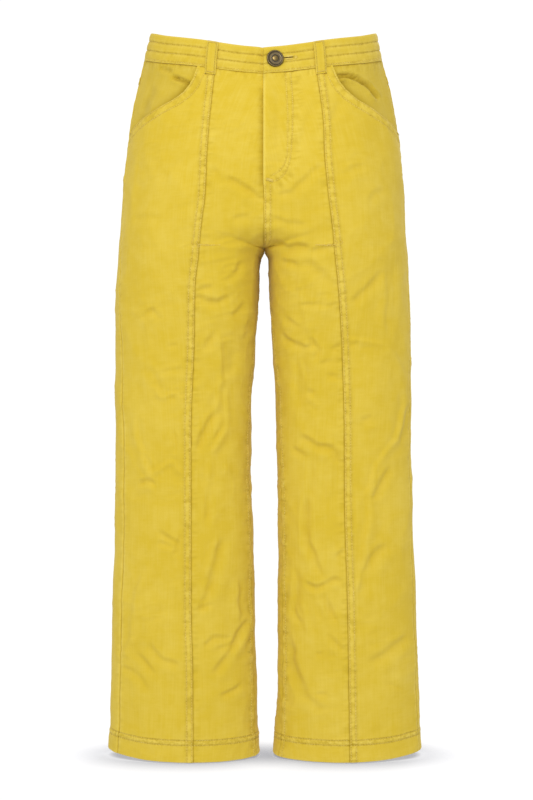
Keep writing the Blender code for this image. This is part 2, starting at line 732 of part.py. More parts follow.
def button_frame():
    """The garment surface's point under the button, and its directions across, up and out."""
    half = SURFACE[LEFT]
    girth = half.girth_across(BUTTON_DROP, BUTTON_ACROSS)
    here = half.place(BUTTON_DROP, girth)[0]
    out = half.place(BUTTON_DROP, girth, 1.0)[0] - here
    beside = half.place(BUTTON_DROP, half.girth_across(BUTTON_DROP, BUTTON_ACROSS + 8))[0] - here
    across = beside - out * np.dot(beside, out)
    across /= np.linalg.norm(across)
    return here, across, np.cross(out, across), out


KEYHOLE_EYE_RADIUS = 3.1
KEYHOLE_SLOT_WIDTH = 2.2
KEYHOLE_LENGTH = 24.0


def keyhole_cutter():
    """A keyhole outline, round at the button's post with a slot away from the opening's edge."""
    here, across, up, out = button_frame()
    half_slot = KEYHOLE_SLOT_WIDTH / 2
    opening = math.asin(half_slot / KEYHOLE_EYE_RADIUS)
    turn = np.linspace(opening, 2 * math.pi - opening, 14)
    outline = [(KEYHOLE_EYE_RADIUS * math.cos(angle), KEYHOLE_EYE_RADIUS * math.sin(angle)) for angle in turn]
    outline += [(KEYHOLE_LENGTH, -half_slot), (KEYHOLE_LENGTH, half_slot)]
    points = [here + across * x + up * y + out * depth for depth in (-7.0, 9.0) for x, y in outline]
    count = len(outline)
    faces = [tuple(range(count)), tuple(reversed(range(count, 2 * count)))]
    for i in range(count):
        j = (i + 1) % count
        faces.append((i, count + i, count + j, j))
    cutter = add_object("keyhole_cutter", points, faces, "twill")
    cutter.hide_render = True
    cutter.display_type = "WIRE"
    return cutter


# The button as turned: radius and height above the garment surface.
BUTTON_BACK = LAP_STANDS_OUT + BAND_STANDS_OUT + 0.5
BUTTON_FOOT = UNDERLAP_OUTER + SEAM_GAP
BUTTON_PROFILE = (
    (0.0, BUTTON_FOOT),
    (2.3, BUTTON_FOOT),
    (2.3, BUTTON_BACK + 0.2),
    (9.6, BUTTON_BACK + 0.1),
    (BUTTON_RADIUS, BUTTON_BACK + 1.0),
    (BUTTON_RADIUS - 0.3, BUTTON_BACK + 2.3),
    (BUTTON_RADIUS - 1.4, BUTTON_BACK + 2.9),
    (BUTTON_RADIUS - 2.6, BUTTON_BACK + 2.3),
    (4.2, BUTTON_BACK + 2.0),
    (2.6, BUTTON_BACK + 2.7),
    (0.0, BUTTON_BACK + 3.0),
)
BUTTON_SIDES = 22


def button():
    """A plain shank button: post through the buttonhole, dished cap with a rolled rim and a small boss."""
    here, across, up, out = button_frame()
    points = []
    for radius, height in BUTTON_PROFILE:
        turns = 1 if radius == 0 else BUTTON_SIDES
        for i in range(turns):
            angle = 2 * math.pi * i / BUTTON_SIDES
            spoke = across * math.cos(angle) + up * math.sin(angle)
            points.append(here + spoke * radius + out * height)
    rings = len(BUTTON_PROFILE) - 2
    last = len(points) - 1
    faces = []
    for i in range(BUTTON_SIDES):
        j = (i + 1) % BUTTON_SIDES
        faces.append((0, 1 + j, 1 + i))
        for ring in range(rings - 1):
            low = 1 + ring * BUTTON_SIDES
            high = low + BUTTON_SIDES
            faces.append((low + i, low + j, high + j, high + i))
        top = 1 + (rings - 1) * BUTTON_SIDES
        faces.append((top + i, top + j, last))
    add_object("button", points, faces, "antique_metal")


def main():
    for old in list(bpy.data.objects):
        bpy.data.objects.remove(old, do_unlink=True)
    for half in SURFACE.values():
        front_inner(half)
        front_outer(half)
        pocket(half)
        yoke(half)
        back(half)
        front_loop(half)
        back_loop(half)
    waistband_left()
    waistband_right()
    fly_underlap()
    centre_back_loop()
    button()


SURFACE = {side: Half(side) for side in (LEFT, RIGHT)}
main()
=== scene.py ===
"""Looks of the wide leg jeans: garment-dyed cotton twill, topstitched seams, a metal shank button.

The waist's centre is the origin, the front faces -Y, +Z is up, and the wearer's left is +X. Sizes are in
millimetres, and turned to metres when a mesh is made. Every cloth piece is a stretch of one garment
surface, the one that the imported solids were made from. A point on it is named by its half, its drop below
the waist's edge, and its length: how far round the half it lies, from the centre front or the inner leg.
"""

import math

import bmesh
import bpy
import numpy as np
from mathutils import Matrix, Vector


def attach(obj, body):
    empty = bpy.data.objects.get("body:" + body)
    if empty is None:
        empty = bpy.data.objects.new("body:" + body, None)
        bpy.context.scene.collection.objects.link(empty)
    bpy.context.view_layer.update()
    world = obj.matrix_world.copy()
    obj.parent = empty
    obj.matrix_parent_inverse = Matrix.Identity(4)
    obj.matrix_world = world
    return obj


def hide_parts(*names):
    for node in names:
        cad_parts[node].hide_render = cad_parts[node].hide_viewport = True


bl_info = {
    "name": "Wide leg jeans",
    "version": (1, 0, 0),
    "blender": (4, 5, 0),
    "location": "3D View > Sidebar > Jeans",
    "description": "Garment-dyed cotton twill jeans with topstitched seams and a shank button",
    "category": "Add Mesh",
}

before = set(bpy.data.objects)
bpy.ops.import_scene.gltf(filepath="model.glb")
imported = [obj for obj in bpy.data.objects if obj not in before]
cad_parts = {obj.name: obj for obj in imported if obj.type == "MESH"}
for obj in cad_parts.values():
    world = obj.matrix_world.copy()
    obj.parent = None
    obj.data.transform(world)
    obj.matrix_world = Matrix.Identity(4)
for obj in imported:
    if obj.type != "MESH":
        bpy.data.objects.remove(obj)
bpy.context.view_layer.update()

MM = 0.001
LEFT = 1
RIGHT = -1
FRONT = 0
BACK = 1


def from_hex(text):
    """An sRGB hex colour as linear red, green and blue."""
    shares = [int(text[i : i + 2], 16) / 255 for i in (1, 3, 5)]
    return tuple(s / 12.92 if s <= 0.04045 else ((s + 0.055) / 1.055) ** 2.4 for s in shares)


def size(label, about, default):
    """A length that a user may change, given here in millimetres."""
    return bpy.props.FloatProperty(name=label, description=about, default=default * MM, unit="LENGTH")


def share(label, about, default):
    """A share that a user may change, up to four times what is modelled."""
    return bpy.props.FloatProperty(
        name=label, description=about, default=default, min=0, max=4, subtype="FACTOR"
    )


def colour(label, about, default):
    """A colour that a user may change, given here in sRGB hex."""
    return bpy.props.FloatVectorProperty(
        name=label, description=about, default=from_hex(default), size=3, min=0.0, max=1.0, subtype="COLOR"
    )


class JeansSizes(bpy.types.PropertyGroup):
    """What a maker would change on the garment."""

    cloth: size("Cloth", "Thickness of one layer of twill", 1.3)
    mesh_step: size("Mesh step", "Distance between rows of mesh on the cloth", 2.2)
    seam_width: size("Seam width", "Width of a felled seam with two rows of stitches", 9.3)
    seam_height: size("Seam height", "How far a felled seam stands out", 0.55)
    hem_turn: size("Hem turn", "Depth of the turned-up hem", 29.0)
    stitch: size("Stitch", "Length from one stitch to the next", 3.5)
    thread: size("Thread", "Width of the topstitching thread", 1.1)
    creases: share("Creases", "Depth of the creases, as a share of those modelled", 0.88)
    rumples: share("Rumples", "Depth of the cloth's soft unevenness", 1.0)
    puckers: share("Puckers", "Depth of the puckers beside stitches", 1.0)


class JeansColours(bpy.types.PropertyGroup):
    """The dyes and finishes."""

    twill: colour("Twill", "Mustard garment dye on cotton twill", "#D6B72F")
    # The faded colour is pale wear, and also painted highlight on ridges, puckers, tucks and swells.
    faded: colour("Faded twill", "The same dye where washing wears it pale", "#E4C953")
    # The deep colour is deeper dye at seams, and also painted shade in creases, troughs, grooves, the
    # pocket mouths, beside the lapped fly edge and at the crotch.
    deep_dye_and_shade: colour("Deep twill", "The same dye where it gathers, at seams and in creases", "#AF9118")
    thread: colour("Thread", "Topstitching thread, a paler yellow", "#EFD878")
    metal: colour("Button metal", "Antique plate, nearly black brown", "#47433D")
    brass: colour("Bare brass", "Brass where the plate is rubbed thin", "#7D6A40")
    floor: colour("Floor", "Matt white studio floor", "#F7F7F9")


# Driving dimensions
BAND_DEPTH = 37.0
CROTCH_DROP = 291.0
HEM_DROP = 962.0
FLY_LENGTH = 172.0
BAND_WALL = 2.6
BAND_STANDS_OUT = 0.4
SEAM_GAP = 0.3
# How the centre seam turns under to the crotch: over what height, how square its curve is, and how
# sharply the web between the legs meets their own curves.
RISES = {"front": (36.0, 3.0, 5), "back": (95.0, 2.0, 3)}
# How far the web reaches towards the fullest place: at the crotch, how much further at the top of the
# rise, and the share over which it fades.
WEB_STARTS = {"front": 0.0, "back": 1.0}
WEB_REACH = {"front": 1.3, "back": 0.0}
WEB_FADES = 0.16
# The lapped front edge: its turn past the centre, its rise and width on the leg, its rise on the band.
LAP_TURN = 1.15
LAP_RISE = 0.9
LAP_WIDTH = 45.0
LAP_STANDS_OUT = 1.0
TURN_FADES = 14.0
LAP_FADES = 22.0
BUTTON_ACROSS = 13.5
BUTTON_DROP = 17.5
LOOP_WIDTH = 14.0
LOOP_LENGTH = 47.0
LOOP_WALL = 1.8
FIRST_LEVEL_ROW = 156.0


def table(columns, *rows):
    """Named columns of numbers, one row for each level or place."""
    return {name: np.array(cells, float) for name, cells in zip(columns.split(), zip(*rows))}


# Half widths and depths of the outer face, from the waist's edge down to the hem.
LEVELS = table(
    "drop outer_right outer_left inner_right inner_left front back",
    (0, 151.0, 149.5, 0.0, 0.0, 90, 98),
    (37, 160.5, 157.0, 0.0, 0.0, 95, 106),
    (76, 169.5, 167.0, 0.0, 0.0, 102, 117),
    (129, 180.0, 176.0, 0.0, 0.0, 109, 128),
    (196, 187.0, 184.5, 0.0, 0.0, 112, 134),
    (250, 191.0, 188.0, 0.0, 0.0, 108, 127),
    (291, 194.0, 190.5, 0.0, 0.0, 101, 114),
    (303, 195.0, 191.0, 6.0, 6.0, 99, 110),
    (357, 198.0, 192.5, 8.7, 7.4, 89, 97),
    (424, 199.0, 195.0, 12.7, 11.0, 77, 83),
    (491, 199.0, 195.0, 18.0, 16.8, 70, 74),
    (558, 198.0, 195.5, 19.4, 18.0, 66, 69),
    (625, 199.0, 197.5, 18.0, 19.4, 63, 66),
    (692, 200.3, 199.0, 15.4, 19.4, 62, 64),
    (759, 203.0, 201.7, 14.0, 19.4, 61, 62),
    (893, 205.7, 205.7, 11.4, 16.8, 60, 60),
    (934, 206.5, 207.0, 10.0, 15.5, 60, 60),
    (962, 208.0, 209.5, 8.0, 13.0, 62, 62),
)

# Where the front and the back stand out most, as a share of the way from the inner edge to the side, and
# how far the centre seams stand out, as a share of that depth.
FULLNESS = table(
    "drop front_place back_place front_centre back_centre",
    (0, 0.20, 0.25, 1.03, 1.00), (76, 0.25, 0.33, 1.03, 1.00), (150, 0.29, 0.39, 1.015, 0.985),
    (196, 0.32, 0.42, 1.00, 0.965), (250, 0.42, 0.47, 0.985, 0.95), (291, 0.50, 0.50, 0.985, 0.95),
    (962, 0.50, 0.50, 0.985, 0.95),
)

# How far the waist's edge and the hem rise above a level cut, round the girth.
EDGES = table(
    "girth waist hem",
    (0.0, -36.0, 0.0), (0.2, -31.5, -2.0), (0.42, -23.5, -3.0), (0.68, -14.0, -1.0), (0.88, -4.5, 4.0),
    (1.0, 0.0, 6.0), (1.12, 2.0, 4.5), (1.5, 0.0, 0.0), (2.0, -3.0, 0.0),
)
WAIST_EDGE_FADES = 230.0
HEM_EDGE_FADES = 180.0

# The long front seam, as its distance from the centre front.
FRONT_SEAM = table(
    "drop right left",
    (37, 64.0, 67.0), (84, 68.0, 72.6), (133, 71.5, 76.3), (176, 74.0, 77.5), (226, 76.0, 82.0),
    (268, 81.4, 87.5), (308, 85.5, 91.5), (344, 89.7, 95.5), (417, 91.5, 100.6), (530, 95.8, 104.4),
    (627, 96.0, 105.0), (763, 96.0, 109.0), (852, 94.0, 110.5), (962, 93.5, 112.0),
)

# How far the side seam lies in front of the widest point of the side.
SIDE_SEAM = table(
    "drop right left",
    (0, 8, 6), (137, 20, 15), (279, 30, 18), (357, 38, 20), (962, 35, 19),
)
INSEAM_FORWARD = {LEFT: 29.0, RIGHT: 22.0}
INSEAM_FADES = 110.0

# The pocket mouth, as a share of the way from the long front seam to the side seam.
POCKET_MOUTH = table(
    "share drop",
    (0.165, 37), (0.185, 47), (0.205, 58), (0.255, 72), (0.34, 85), (0.50, 100), (0.67, 114), (0.83, 125),
    (1.0, 137),
)

# The yoke's lower seam, from the side seam (0) to the centre back (1).
YOKE_SEAM = table(
    "share drop",
    (0.0, 68), (0.5, 80), (1.0, 100),
)

# A belt loop's inner face, above the garment surface along its length.
LOOP_PROFILE = table(
    "drop stands_out",
    (0.6, 0.8), (5, 1.9), (15, 2.7), (27, 2.5), (34, 1.5), (39, 0.8), (43, 0.35), (47, 0.35),
)
# Distance from the centre at the waist's edge, and how far the loop leans out on its way down.
FRONT_LOOPS = {LEFT: (69.5, 4.0), RIGHT: (66.0, 4.0)}
BACK_LOOP_ACROSS = 96.0

# Creases in the cloth: soft troughs (height below 0) and ridges, each from one place to another on the
# front or the back of a half, with a sideways bow. Those of the front follow the photograph's.
CREASE_COLUMNS = "half face start_across start_drop end_across end_drop bow width height"


def on_face(half, face, *rows):
    """Rows of creases that lie on one face of a half."""
    return [(half, face, *row) for row in rows]


CREASES = table(
    CREASE_COLUMNS,
    # Wearer's left, hip
    *on_face(
        LEFT,
        FRONT,
        (66, 87, 46, 163, -3, 8, -1.3), (20, 226, 35, 226, 0, 6, -1.8), (35, 226, 74, 190, 1, 7, -2.1),
        (12, 257, 28, 264, 0, 6, -1.8), (28, 264, 50, 267, 0, 6, -1.8), (87, 124, 97, 92, 0, 8, -1.2),
        (103, 199, 126, 185, 0, 7, -1.4), (134, 233, 154, 218, 0, 7, -1.4),
    ),
    # Wearer's left, thigh
    *on_face(
        LEFT,
        FRONT,
        (10, 284, 28, 294, 0, 6, -3.0), (28, 294, 56, 296, 1, 7, -3.6), (60, 299, 90, 295, 0, 6, -2.4),
        (23, 310, 42, 317, 0, 5, -2.0), (54, 316, 84, 341, 3, 9, -3.0), (46, 330, 61, 405, -3, 4, 1.3),
        (48, 367, 90, 369, 0, 4, -1.5), (115, 365, 154, 325, 0, 7, -2.2), (154, 325, 156, 400, 0, 6, 1.5),
        (168, 310, 168, 393, 0, 9, -1.5), (28, 385, 46, 398, 0, 5, -1.9), (25, 408, 56, 424, -2, 6, -3.4),
        (56, 424, 63, 417, 0, 5, -2.0), (60, 411, 68, 424, 0, 5, -2.1), (69, 424, 66, 438, 0, 5, -1.9),
        (75, 420, 73, 442, 0, 5, 1.3), (87, 426, 100, 418, 0, 5, -1.6), (110, 421, 123, 417, 0, 5, -1.6),
        (110, 412, 156, 418, 1, 5, 1.3), (43, 429, 42, 501, 3, 10, -2.4), (46, 434, 53, 462, 0, 4, 1.3),
        (74, 444, 87, 439, 0, 5, -1.6), (84, 460, 103, 462, 0, 5, -1.6), (57, 481, 66, 481, 0, 5, -1.6),
        (56, 488, 72, 499, 0, 5, 1.4), (159, 424, 185, 465, 2, 7, 1.8), (185, 486, 172, 543, 2, 6, 1.9),
        (172, 543, 154, 566, 0, 6, 1.8), (154, 566, 136, 618, -2, 6, 1.8), (188, 499, 180, 545, 0, 6, -1.9),
        (165, 582, 142, 620, 0, 6, -2.0), (128, 519, 140, 514, 0, 7, -1.6),
    ),
    # Wearer's left, knee and below
    *on_face(
        LEFT,
        FRONT,
        (50, 539, 69, 551, 0, 6, -3.3), (69, 551, 90, 555, 0, 6, -3.4), (90, 555, 98, 570, 1, 6, -2.8),
        (37, 556, 55, 565, 0, 5, -2.0), (60, 558, 59, 615, 2, 7, -2.4), (87, 571, 82, 620, 0, 6, 1.7),
        (56, 618, 54, 667, -1, 6, -3.0), (54, 667, 64, 693, 0, 6, -3.3), (64, 693, 75, 720, 1, 6, -2.8),
        (56, 732, 79, 732, -3, 5, -2.9), (79, 732, 93, 724, 0, 5, -2.5), (92, 724, 101, 729, 0, 5, -2.0),
        (43, 716, 38, 766, 2, 6, -2.3), (38, 766, 48, 782, -1, 5, -2.1), (77, 747, 95, 781, 1, 5, -2.1),
        (97, 696, 106, 684, 0, 5, -1.9), (50, 758, 59, 795, 1, 5, 1.6), (72, 752, 83, 774, 0, 5, 1.5),
        (139, 615, 131, 685, 2, 8, 2.4), (131, 685, 121, 742, 2, 8, 2.2), (158, 682, 136, 706, -2, 8, -2.7),
        (136, 706, 125, 744, -1, 8, -2.7), (84, 799, 103, 817, 0, 5, -2.1), (35, 807, 43, 854, -2, 9, -2.9),
        (43, 854, 56, 880, -1, 9, -2.7), (56, 880, 75, 895, 0, 7, -2.0), (68, 822, 76, 823, 0, 5, -1.6),
        (69, 874, 83, 874, 0, 4, -1.5), (139, 833, 159, 823, 0, 8, -2.1), (159, 823, 187, 804, 0, 8, -2.1),
        (159, 861, 183, 874, 0, 3, -0.8),
    ),
    # Wearer's right, hip
    *on_face(
        RIGHT,
        FRONT,
        (145, 206, 109, 182, 2, 8, -1.3), (160, 181, 169, 183, 0, 8, -1.0),
        (157, 210, 167, 211, 0, 8, -1.0), (65, 193, 52, 213, 0, 7, -1.7), (47, 205, 21, 220, 0, 6, -2.7),
        (21, 220, 3, 236, 0, 6, -2.5), (39, 257, 19, 257, 0, 6, -1.9), (78, 284, 47, 283, 0, 6, -1.1),
        (168, 255, 135, 255, 0, 7, -1.1), (14, 276, 14, 292, 0, 8, 1.2),
    ),
    # Wearer's right, thigh
    *on_face(
        RIGHT,
        FRONT,
        (161, 384, 146, 373, 0, 5, -1.9), (146, 373, 134, 386, 0, 5, -1.9),
        (125, 420, 114, 420, 0, 4, -1.3), (135, 455, 106, 450, 0, 5, -1.1),
        (153, 450, 132, 475, 0, 8, -1.7), (143, 475, 135, 488, 0, 4, 1.3), (135, 488, 119, 481, 0, 4, 1.3),
        (119, 481, 108, 489, 0, 4, 1.3), (171, 517, 161, 564, 2, 6, 1.7), (161, 564, 150, 589, 0, 6, 1.7),
        (164, 600, 143, 601, -3, 5, -2.4), (148, 589, 122, 571, 0, 5, 1.6), (122, 571, 106, 589, 0, 5, 1.6),
        (117, 532, 115, 559, 0, 4, -1.3), (86, 339, 68, 339, 0, 4, 1.3), (86, 349, 68, 345, 0, 5, -1.7),
        (88, 356, 73, 363, 0, 7, -2.7), (73, 363, 57, 365, 0, 7, -3.1), (57, 365, 47, 358, 0, 7, -2.9),
        (47, 336, 29, 315, 0, 6, -2.1), (41, 382, 26, 365, 0, 6, -2.1), (32, 390, 30, 406, 0, 10, 1.3),
        (79, 424, 63, 404, 0, 6, -2.1), (46, 419, 44, 457, 0, 13, -3.1), (60, 408, 57, 465, -2, 5, 1.5),
        (57, 465, 65, 509, 0, 5, 1.5), (63, 507, 88, 554, 2, 6, -3.2), (50, 475, 50, 525, 0, 4, 1.3),
        (50, 527, 70, 558, 0, 6, 1.9), (60, 532, 70, 553, 0, 4, -1.6), (72, 569, 75, 618, 1, 5, 1.7),
        (52, 576, 52, 588, 0, 6, 1.1),
    ),
    # Wearer's right, knee and below
    *on_face(
        RIGHT,
        FRONT,
        (75, 608, 75, 648, 0, 5, -2.1), (137, 663, 113, 678, 0, 5, -1.9), (137, 677, 118, 684, 0, 4, -1.6),
        (110, 667, 117, 693, 0, 5, -1.7), (57, 675, 68, 716, -1, 7, -2.5), (68, 716, 73, 742, 0, 7, -2.7),
        (73, 742, 84, 764, 0, 6, -2.5), (67, 678, 78, 720, -1, 6, 1.7), (86, 764, 68, 760, 0, 5, -2.1),
        (37, 730, 34, 786, 1, 6, 1.7), (78, 812, 68, 802, 0, 5, -2.1), (68, 802, 45, 804, 0, 5, -2.1),
        (60, 817, 42, 810, 0, 5, -2.1), (42, 810, 34, 794, 0, 5, -2.1), (34, 794, 24, 783, 0, 5, -2.1),
        (32, 795, 47, 823, -1, 6, -2.5), (47, 823, 65, 847, 1, 6, -2.5), (26, 800, 42, 829, 0, 5, 1.5),
        (57, 877, 32, 867, 1, 5, -2.1), (158, 719, 174, 804, 3, 8, 2.4), (174, 804, 184, 828, 0, 7, 1.9),
        (135, 763, 150, 789, 0, 8, -1.6), (150, 812, 135, 830, 1, 6, -2.3),
        (135, 830, 113, 836, 0, 6, -2.1), (166, 825, 144, 849, 0, 5, -1.9),
        (186, 846, 171, 848, 0, 6, -1.7), (171, 848, 152, 868, 0, 6, -1.7),
    ),
    # Back of the wearer's left: below the seat, behind the knee and above the hem
    *on_face(
        LEFT,
        BACK,
        (16, 246, 54, 270, -3, 7, -2.8), (54, 270, 98, 286, -2, 7, -3.2), (30, 300, 78, 322, 3, 7, -2.6),
        (84, 318, 128, 326, 2, 6, -2.0), (18, 330, 52, 352, 0, 6, -2.0), (150, 392, 112, 430, -3, 7, -2.6),
        (112, 430, 84, 452, 1, 7, -2.8), (60, 424, 92, 474, 3, 6, 1.6), (40, 508, 84, 520, 0, 6, -2.6),
        (84, 520, 118, 510, 2, 6, -2.4), (62, 546, 104, 566, -2, 6, -2.8), (60, 572, 78, 640, 2, 7, -2.6),
        (130, 560, 154, 640, 3, 8, 2.0), (120, 700, 92, 760, 3, 8, -2.7), (92, 760, 74, 812, 0, 7, -2.3),
        (44, 780, 60, 860, -3, 8, 1.8), (140, 820, 170, 846, 0, 6, -1.9),
    ),
    # Back of the wearer's right
    *on_face(
        RIGHT,
        BACK,
        (14, 252, 50, 276, -3, 7, -2.8), (50, 276, 92, 298, -2, 7, -3.1), (36, 312, 82, 338, 3, 7, -2.5),
        (88, 336, 124, 346, 1, 6, -1.9), (20, 344, 48, 372, 0, 6, -2.0), (140, 430, 98, 456, -2, 7, -2.6),
        (98, 456, 66, 478, 1, 7, -2.6), (124, 392, 156, 380, 0, 6, -1.8), (46, 516, 88, 532, 1, 6, -2.6),
        (88, 532, 126, 524, 1, 6, -2.3), (128, 580, 104, 628, 2, 7, 2.0), (104, 628, 86, 676, 0, 7, 2.0),
        (54, 590, 70, 662, -2, 7, -2.6), (140, 676, 166, 742, 3, 8, 2.0), (52, 742, 80, 786, 2, 8, -2.7),
        (80, 786, 110, 828, 1, 7, -2.4), (40, 838, 66, 874, 0, 7, -2.0),
    ),
)
# The drops between which creases fade in below the waistband.
CREASES_START_BELOW = (45.0, 120.0)
# A trough is steeper above than below, and the cloth beside it swells a little.
CREASE_NARROWS = 0.74
STEEP_SIDE = 0.7
GENTLE_SIDE = 1.25
SWELL = 0.3
CREASE_REACH = 3.5
# How far past the sides a crease of one face may reach, and how much unevenness the waistband has.
FACE_REACH = 12
BAND_RUMPLES = 0.25

# How square the inner corner of a leg's front is: the cloth lies flat across it below the crotch.
FRONT_CORNER = table(
    "drop corner",
    (0.0, 2.0), (200.0, 2.2), (275.0, 3.2), (330.0, 3.2), (430.0, 2.6), (940.0, 2.2),
)

# Steps along the surface over which its facing is measured, and the steepest slope that it follows.
NEAR_GIRTH = 0.006
NEAR_DROP = 2.0
MOST_TILT = 2.5


def smooth(stations, cells, at):
    """A curve through the cells with no overshoot between them (a monotone cubic)."""
    at = np.clip(at, stations[0], stations[-1])
    step = np.diff(stations)
    slope = np.diff(cells) / step
    tangent = np.concatenate([slope[:1], np.zeros(len(cells) - 2), slope[-1:]])
    same_way = slope[1:] * slope[:-1] > 0
    total = np.where(same_way, slope[1:] + slope[:-1], 1.0)
    tangent[1:-1] = np.where(same_way, 2 * slope[1:] * slope[:-1] / total, 0.0)
    i = np.clip(np.searchsorted(stations, at, side="right") - 1, 0, len(step) - 1)
    h = (at - stations[i]) / step[i]
    rise = h * h * (3 - 2 * h)
    start_pull = h * (1 - h) ** 2 * step[i] * tangent[i]
    end_pull = h * h * (h - 1) * step[i] * tangent[i + 1]
    return cells[i] * (1 - rise) + cells[i + 1] * rise + start_pull + end_pull


def ease(value):
    """0 below 0, 1 above 1, and a smooth step between."""
    value = np.clip(value, 0.0, 1.0)
    return value * value * (3 - 2 * value)


def bell(distance, width):
    """1 at the middle, fading to nothing about two widths away."""
    return np.exp(-((distance / width) ** 2))


def level(columns, name, drop):
    """A table's column at this drop."""
    return smooth(columns["drop"], columns[name], drop)


def noise(x, y, z, seed):
    """Smooth uneven values from -1 to 1 through space: one for each corner of a lattice, eased between."""
    x, y, z = np.broadcast_arrays(x, y, z)
    base = [np.floor(part) for part in (x, y, z)]
    part = [ease(value - floor) for value, floor in zip((x, y, z), base)]
    total = 0.0
    for corner in range(8):
        step = [corner & 1, corner >> 1 & 1, corner >> 2]
        weight = 1.0
        place = seed * 74.7
        for axis, pull in enumerate((127.1, 311.7, 191.999)):
            weight = weight * (part[axis] if step[axis] else 1 - part[axis])
            place = place + (base[axis] + step[axis]) * pull
        scatter = np.sin(place) * 43758.5453
        total = total + weight * ((scatter - np.floor(scatter)) * 2 - 1)
    return total


def rumple(x, y, drop):
    """The soft unevenness of washed twill, in millimetres: long swells, short ones and faint ridges."""
    lean = x * 0.5 + drop * 0.5
    sway = noise(x / 60, y / 60, drop / 60, 9)
    swells = 1.0 * noise(x / 62, y / 62, drop / 120, 1)
    patches = 0.85 * noise(x / 26 + 0.6 * sway, y / 26, drop / 44, 2)
    ridges = 1 - np.abs(noise(lean / 34 + 0.5 * sway, y / 40, (drop - x) / 70, 3))
    other_ridges = 1 - np.abs(noise((x - drop * 0.4) / 30 + 0.5 * sway, y / 40, (drop + x) / 60, 4))
    grain = 0.2 * noise(x / 9, y / 9, drop / 11, 5) + 0.07 * noise(x / 4.2, y / 4.2, drop / 4.2, 8)
    gathered = np.clip(noise(x / 48, y / 48, drop / 60, 6) + 0.25, 0, 1)
    gathered = gathered + 1.2 * bell(drop - 350, 90) * bell(np.abs(x) - 45, 40)
    fine = (1 - np.abs(noise((x + 8 * sway) / 24, y / 24, (drop + 0.25 * x) / 7.5, 7))) ** 3
    return swells + patches + 0.9 * ridges**3 + 0.8 * other_ridges**4 + grain + 0.85 * gathered * fine


def rise_share(climb, square, centre):
    """How far the centre seam stands out: none at the crotch, all of it above the rise's curve."""
    return centre * (1 - (1 - climb) ** square) ** (1 / square)


def quarter(inner, place, outer, depth, stands, reach, blend, corner=2.0):
    """One quarter of a half section, from its inner end round to the widest point of the side. Its inner
    corner is an ellipse's at 2, and squarer above that. The web between the legs stands this far out, and
    reaches this share of the way to the fullest place."""
    bend = np.linspace(0.0, math.pi / 2, 90)
    inner_across = inner + (place - inner) * (1 - np.cos(bend))
    web = (stands * (1 - ease((1 - np.cos(bend) - reach) / WEB_FADES))) ** blend
    rounded = (1 - np.cos(bend) ** corner) ** (blend / corner)
    inner_out = depth * (web + (1 - web) * rounded) ** (1 / blend)
    outer_across = place + (outer - place) * np.sin(bend)
    outer_out = depth * np.cos(bend)
    return np.concatenate([inner_across, outer_across[1:]]), np.concatenate([inner_out, outer_out[1:]])


def run_of(line):
    """How far along a line each of its points lies."""
    return np.concatenate([[0.0], np.cumsum(np.hypot(*np.diff(line, axis=0).T))])


def by_length(across, out, count):
    """The same curve with its points evenly spaced, and its length."""
    length = run_of(np.stack([across, out], axis=1))
    even = np.linspace(0.0, length[-1], count)
    return np.interp(even, length, across), np.interp(even, length, out), length[-1]


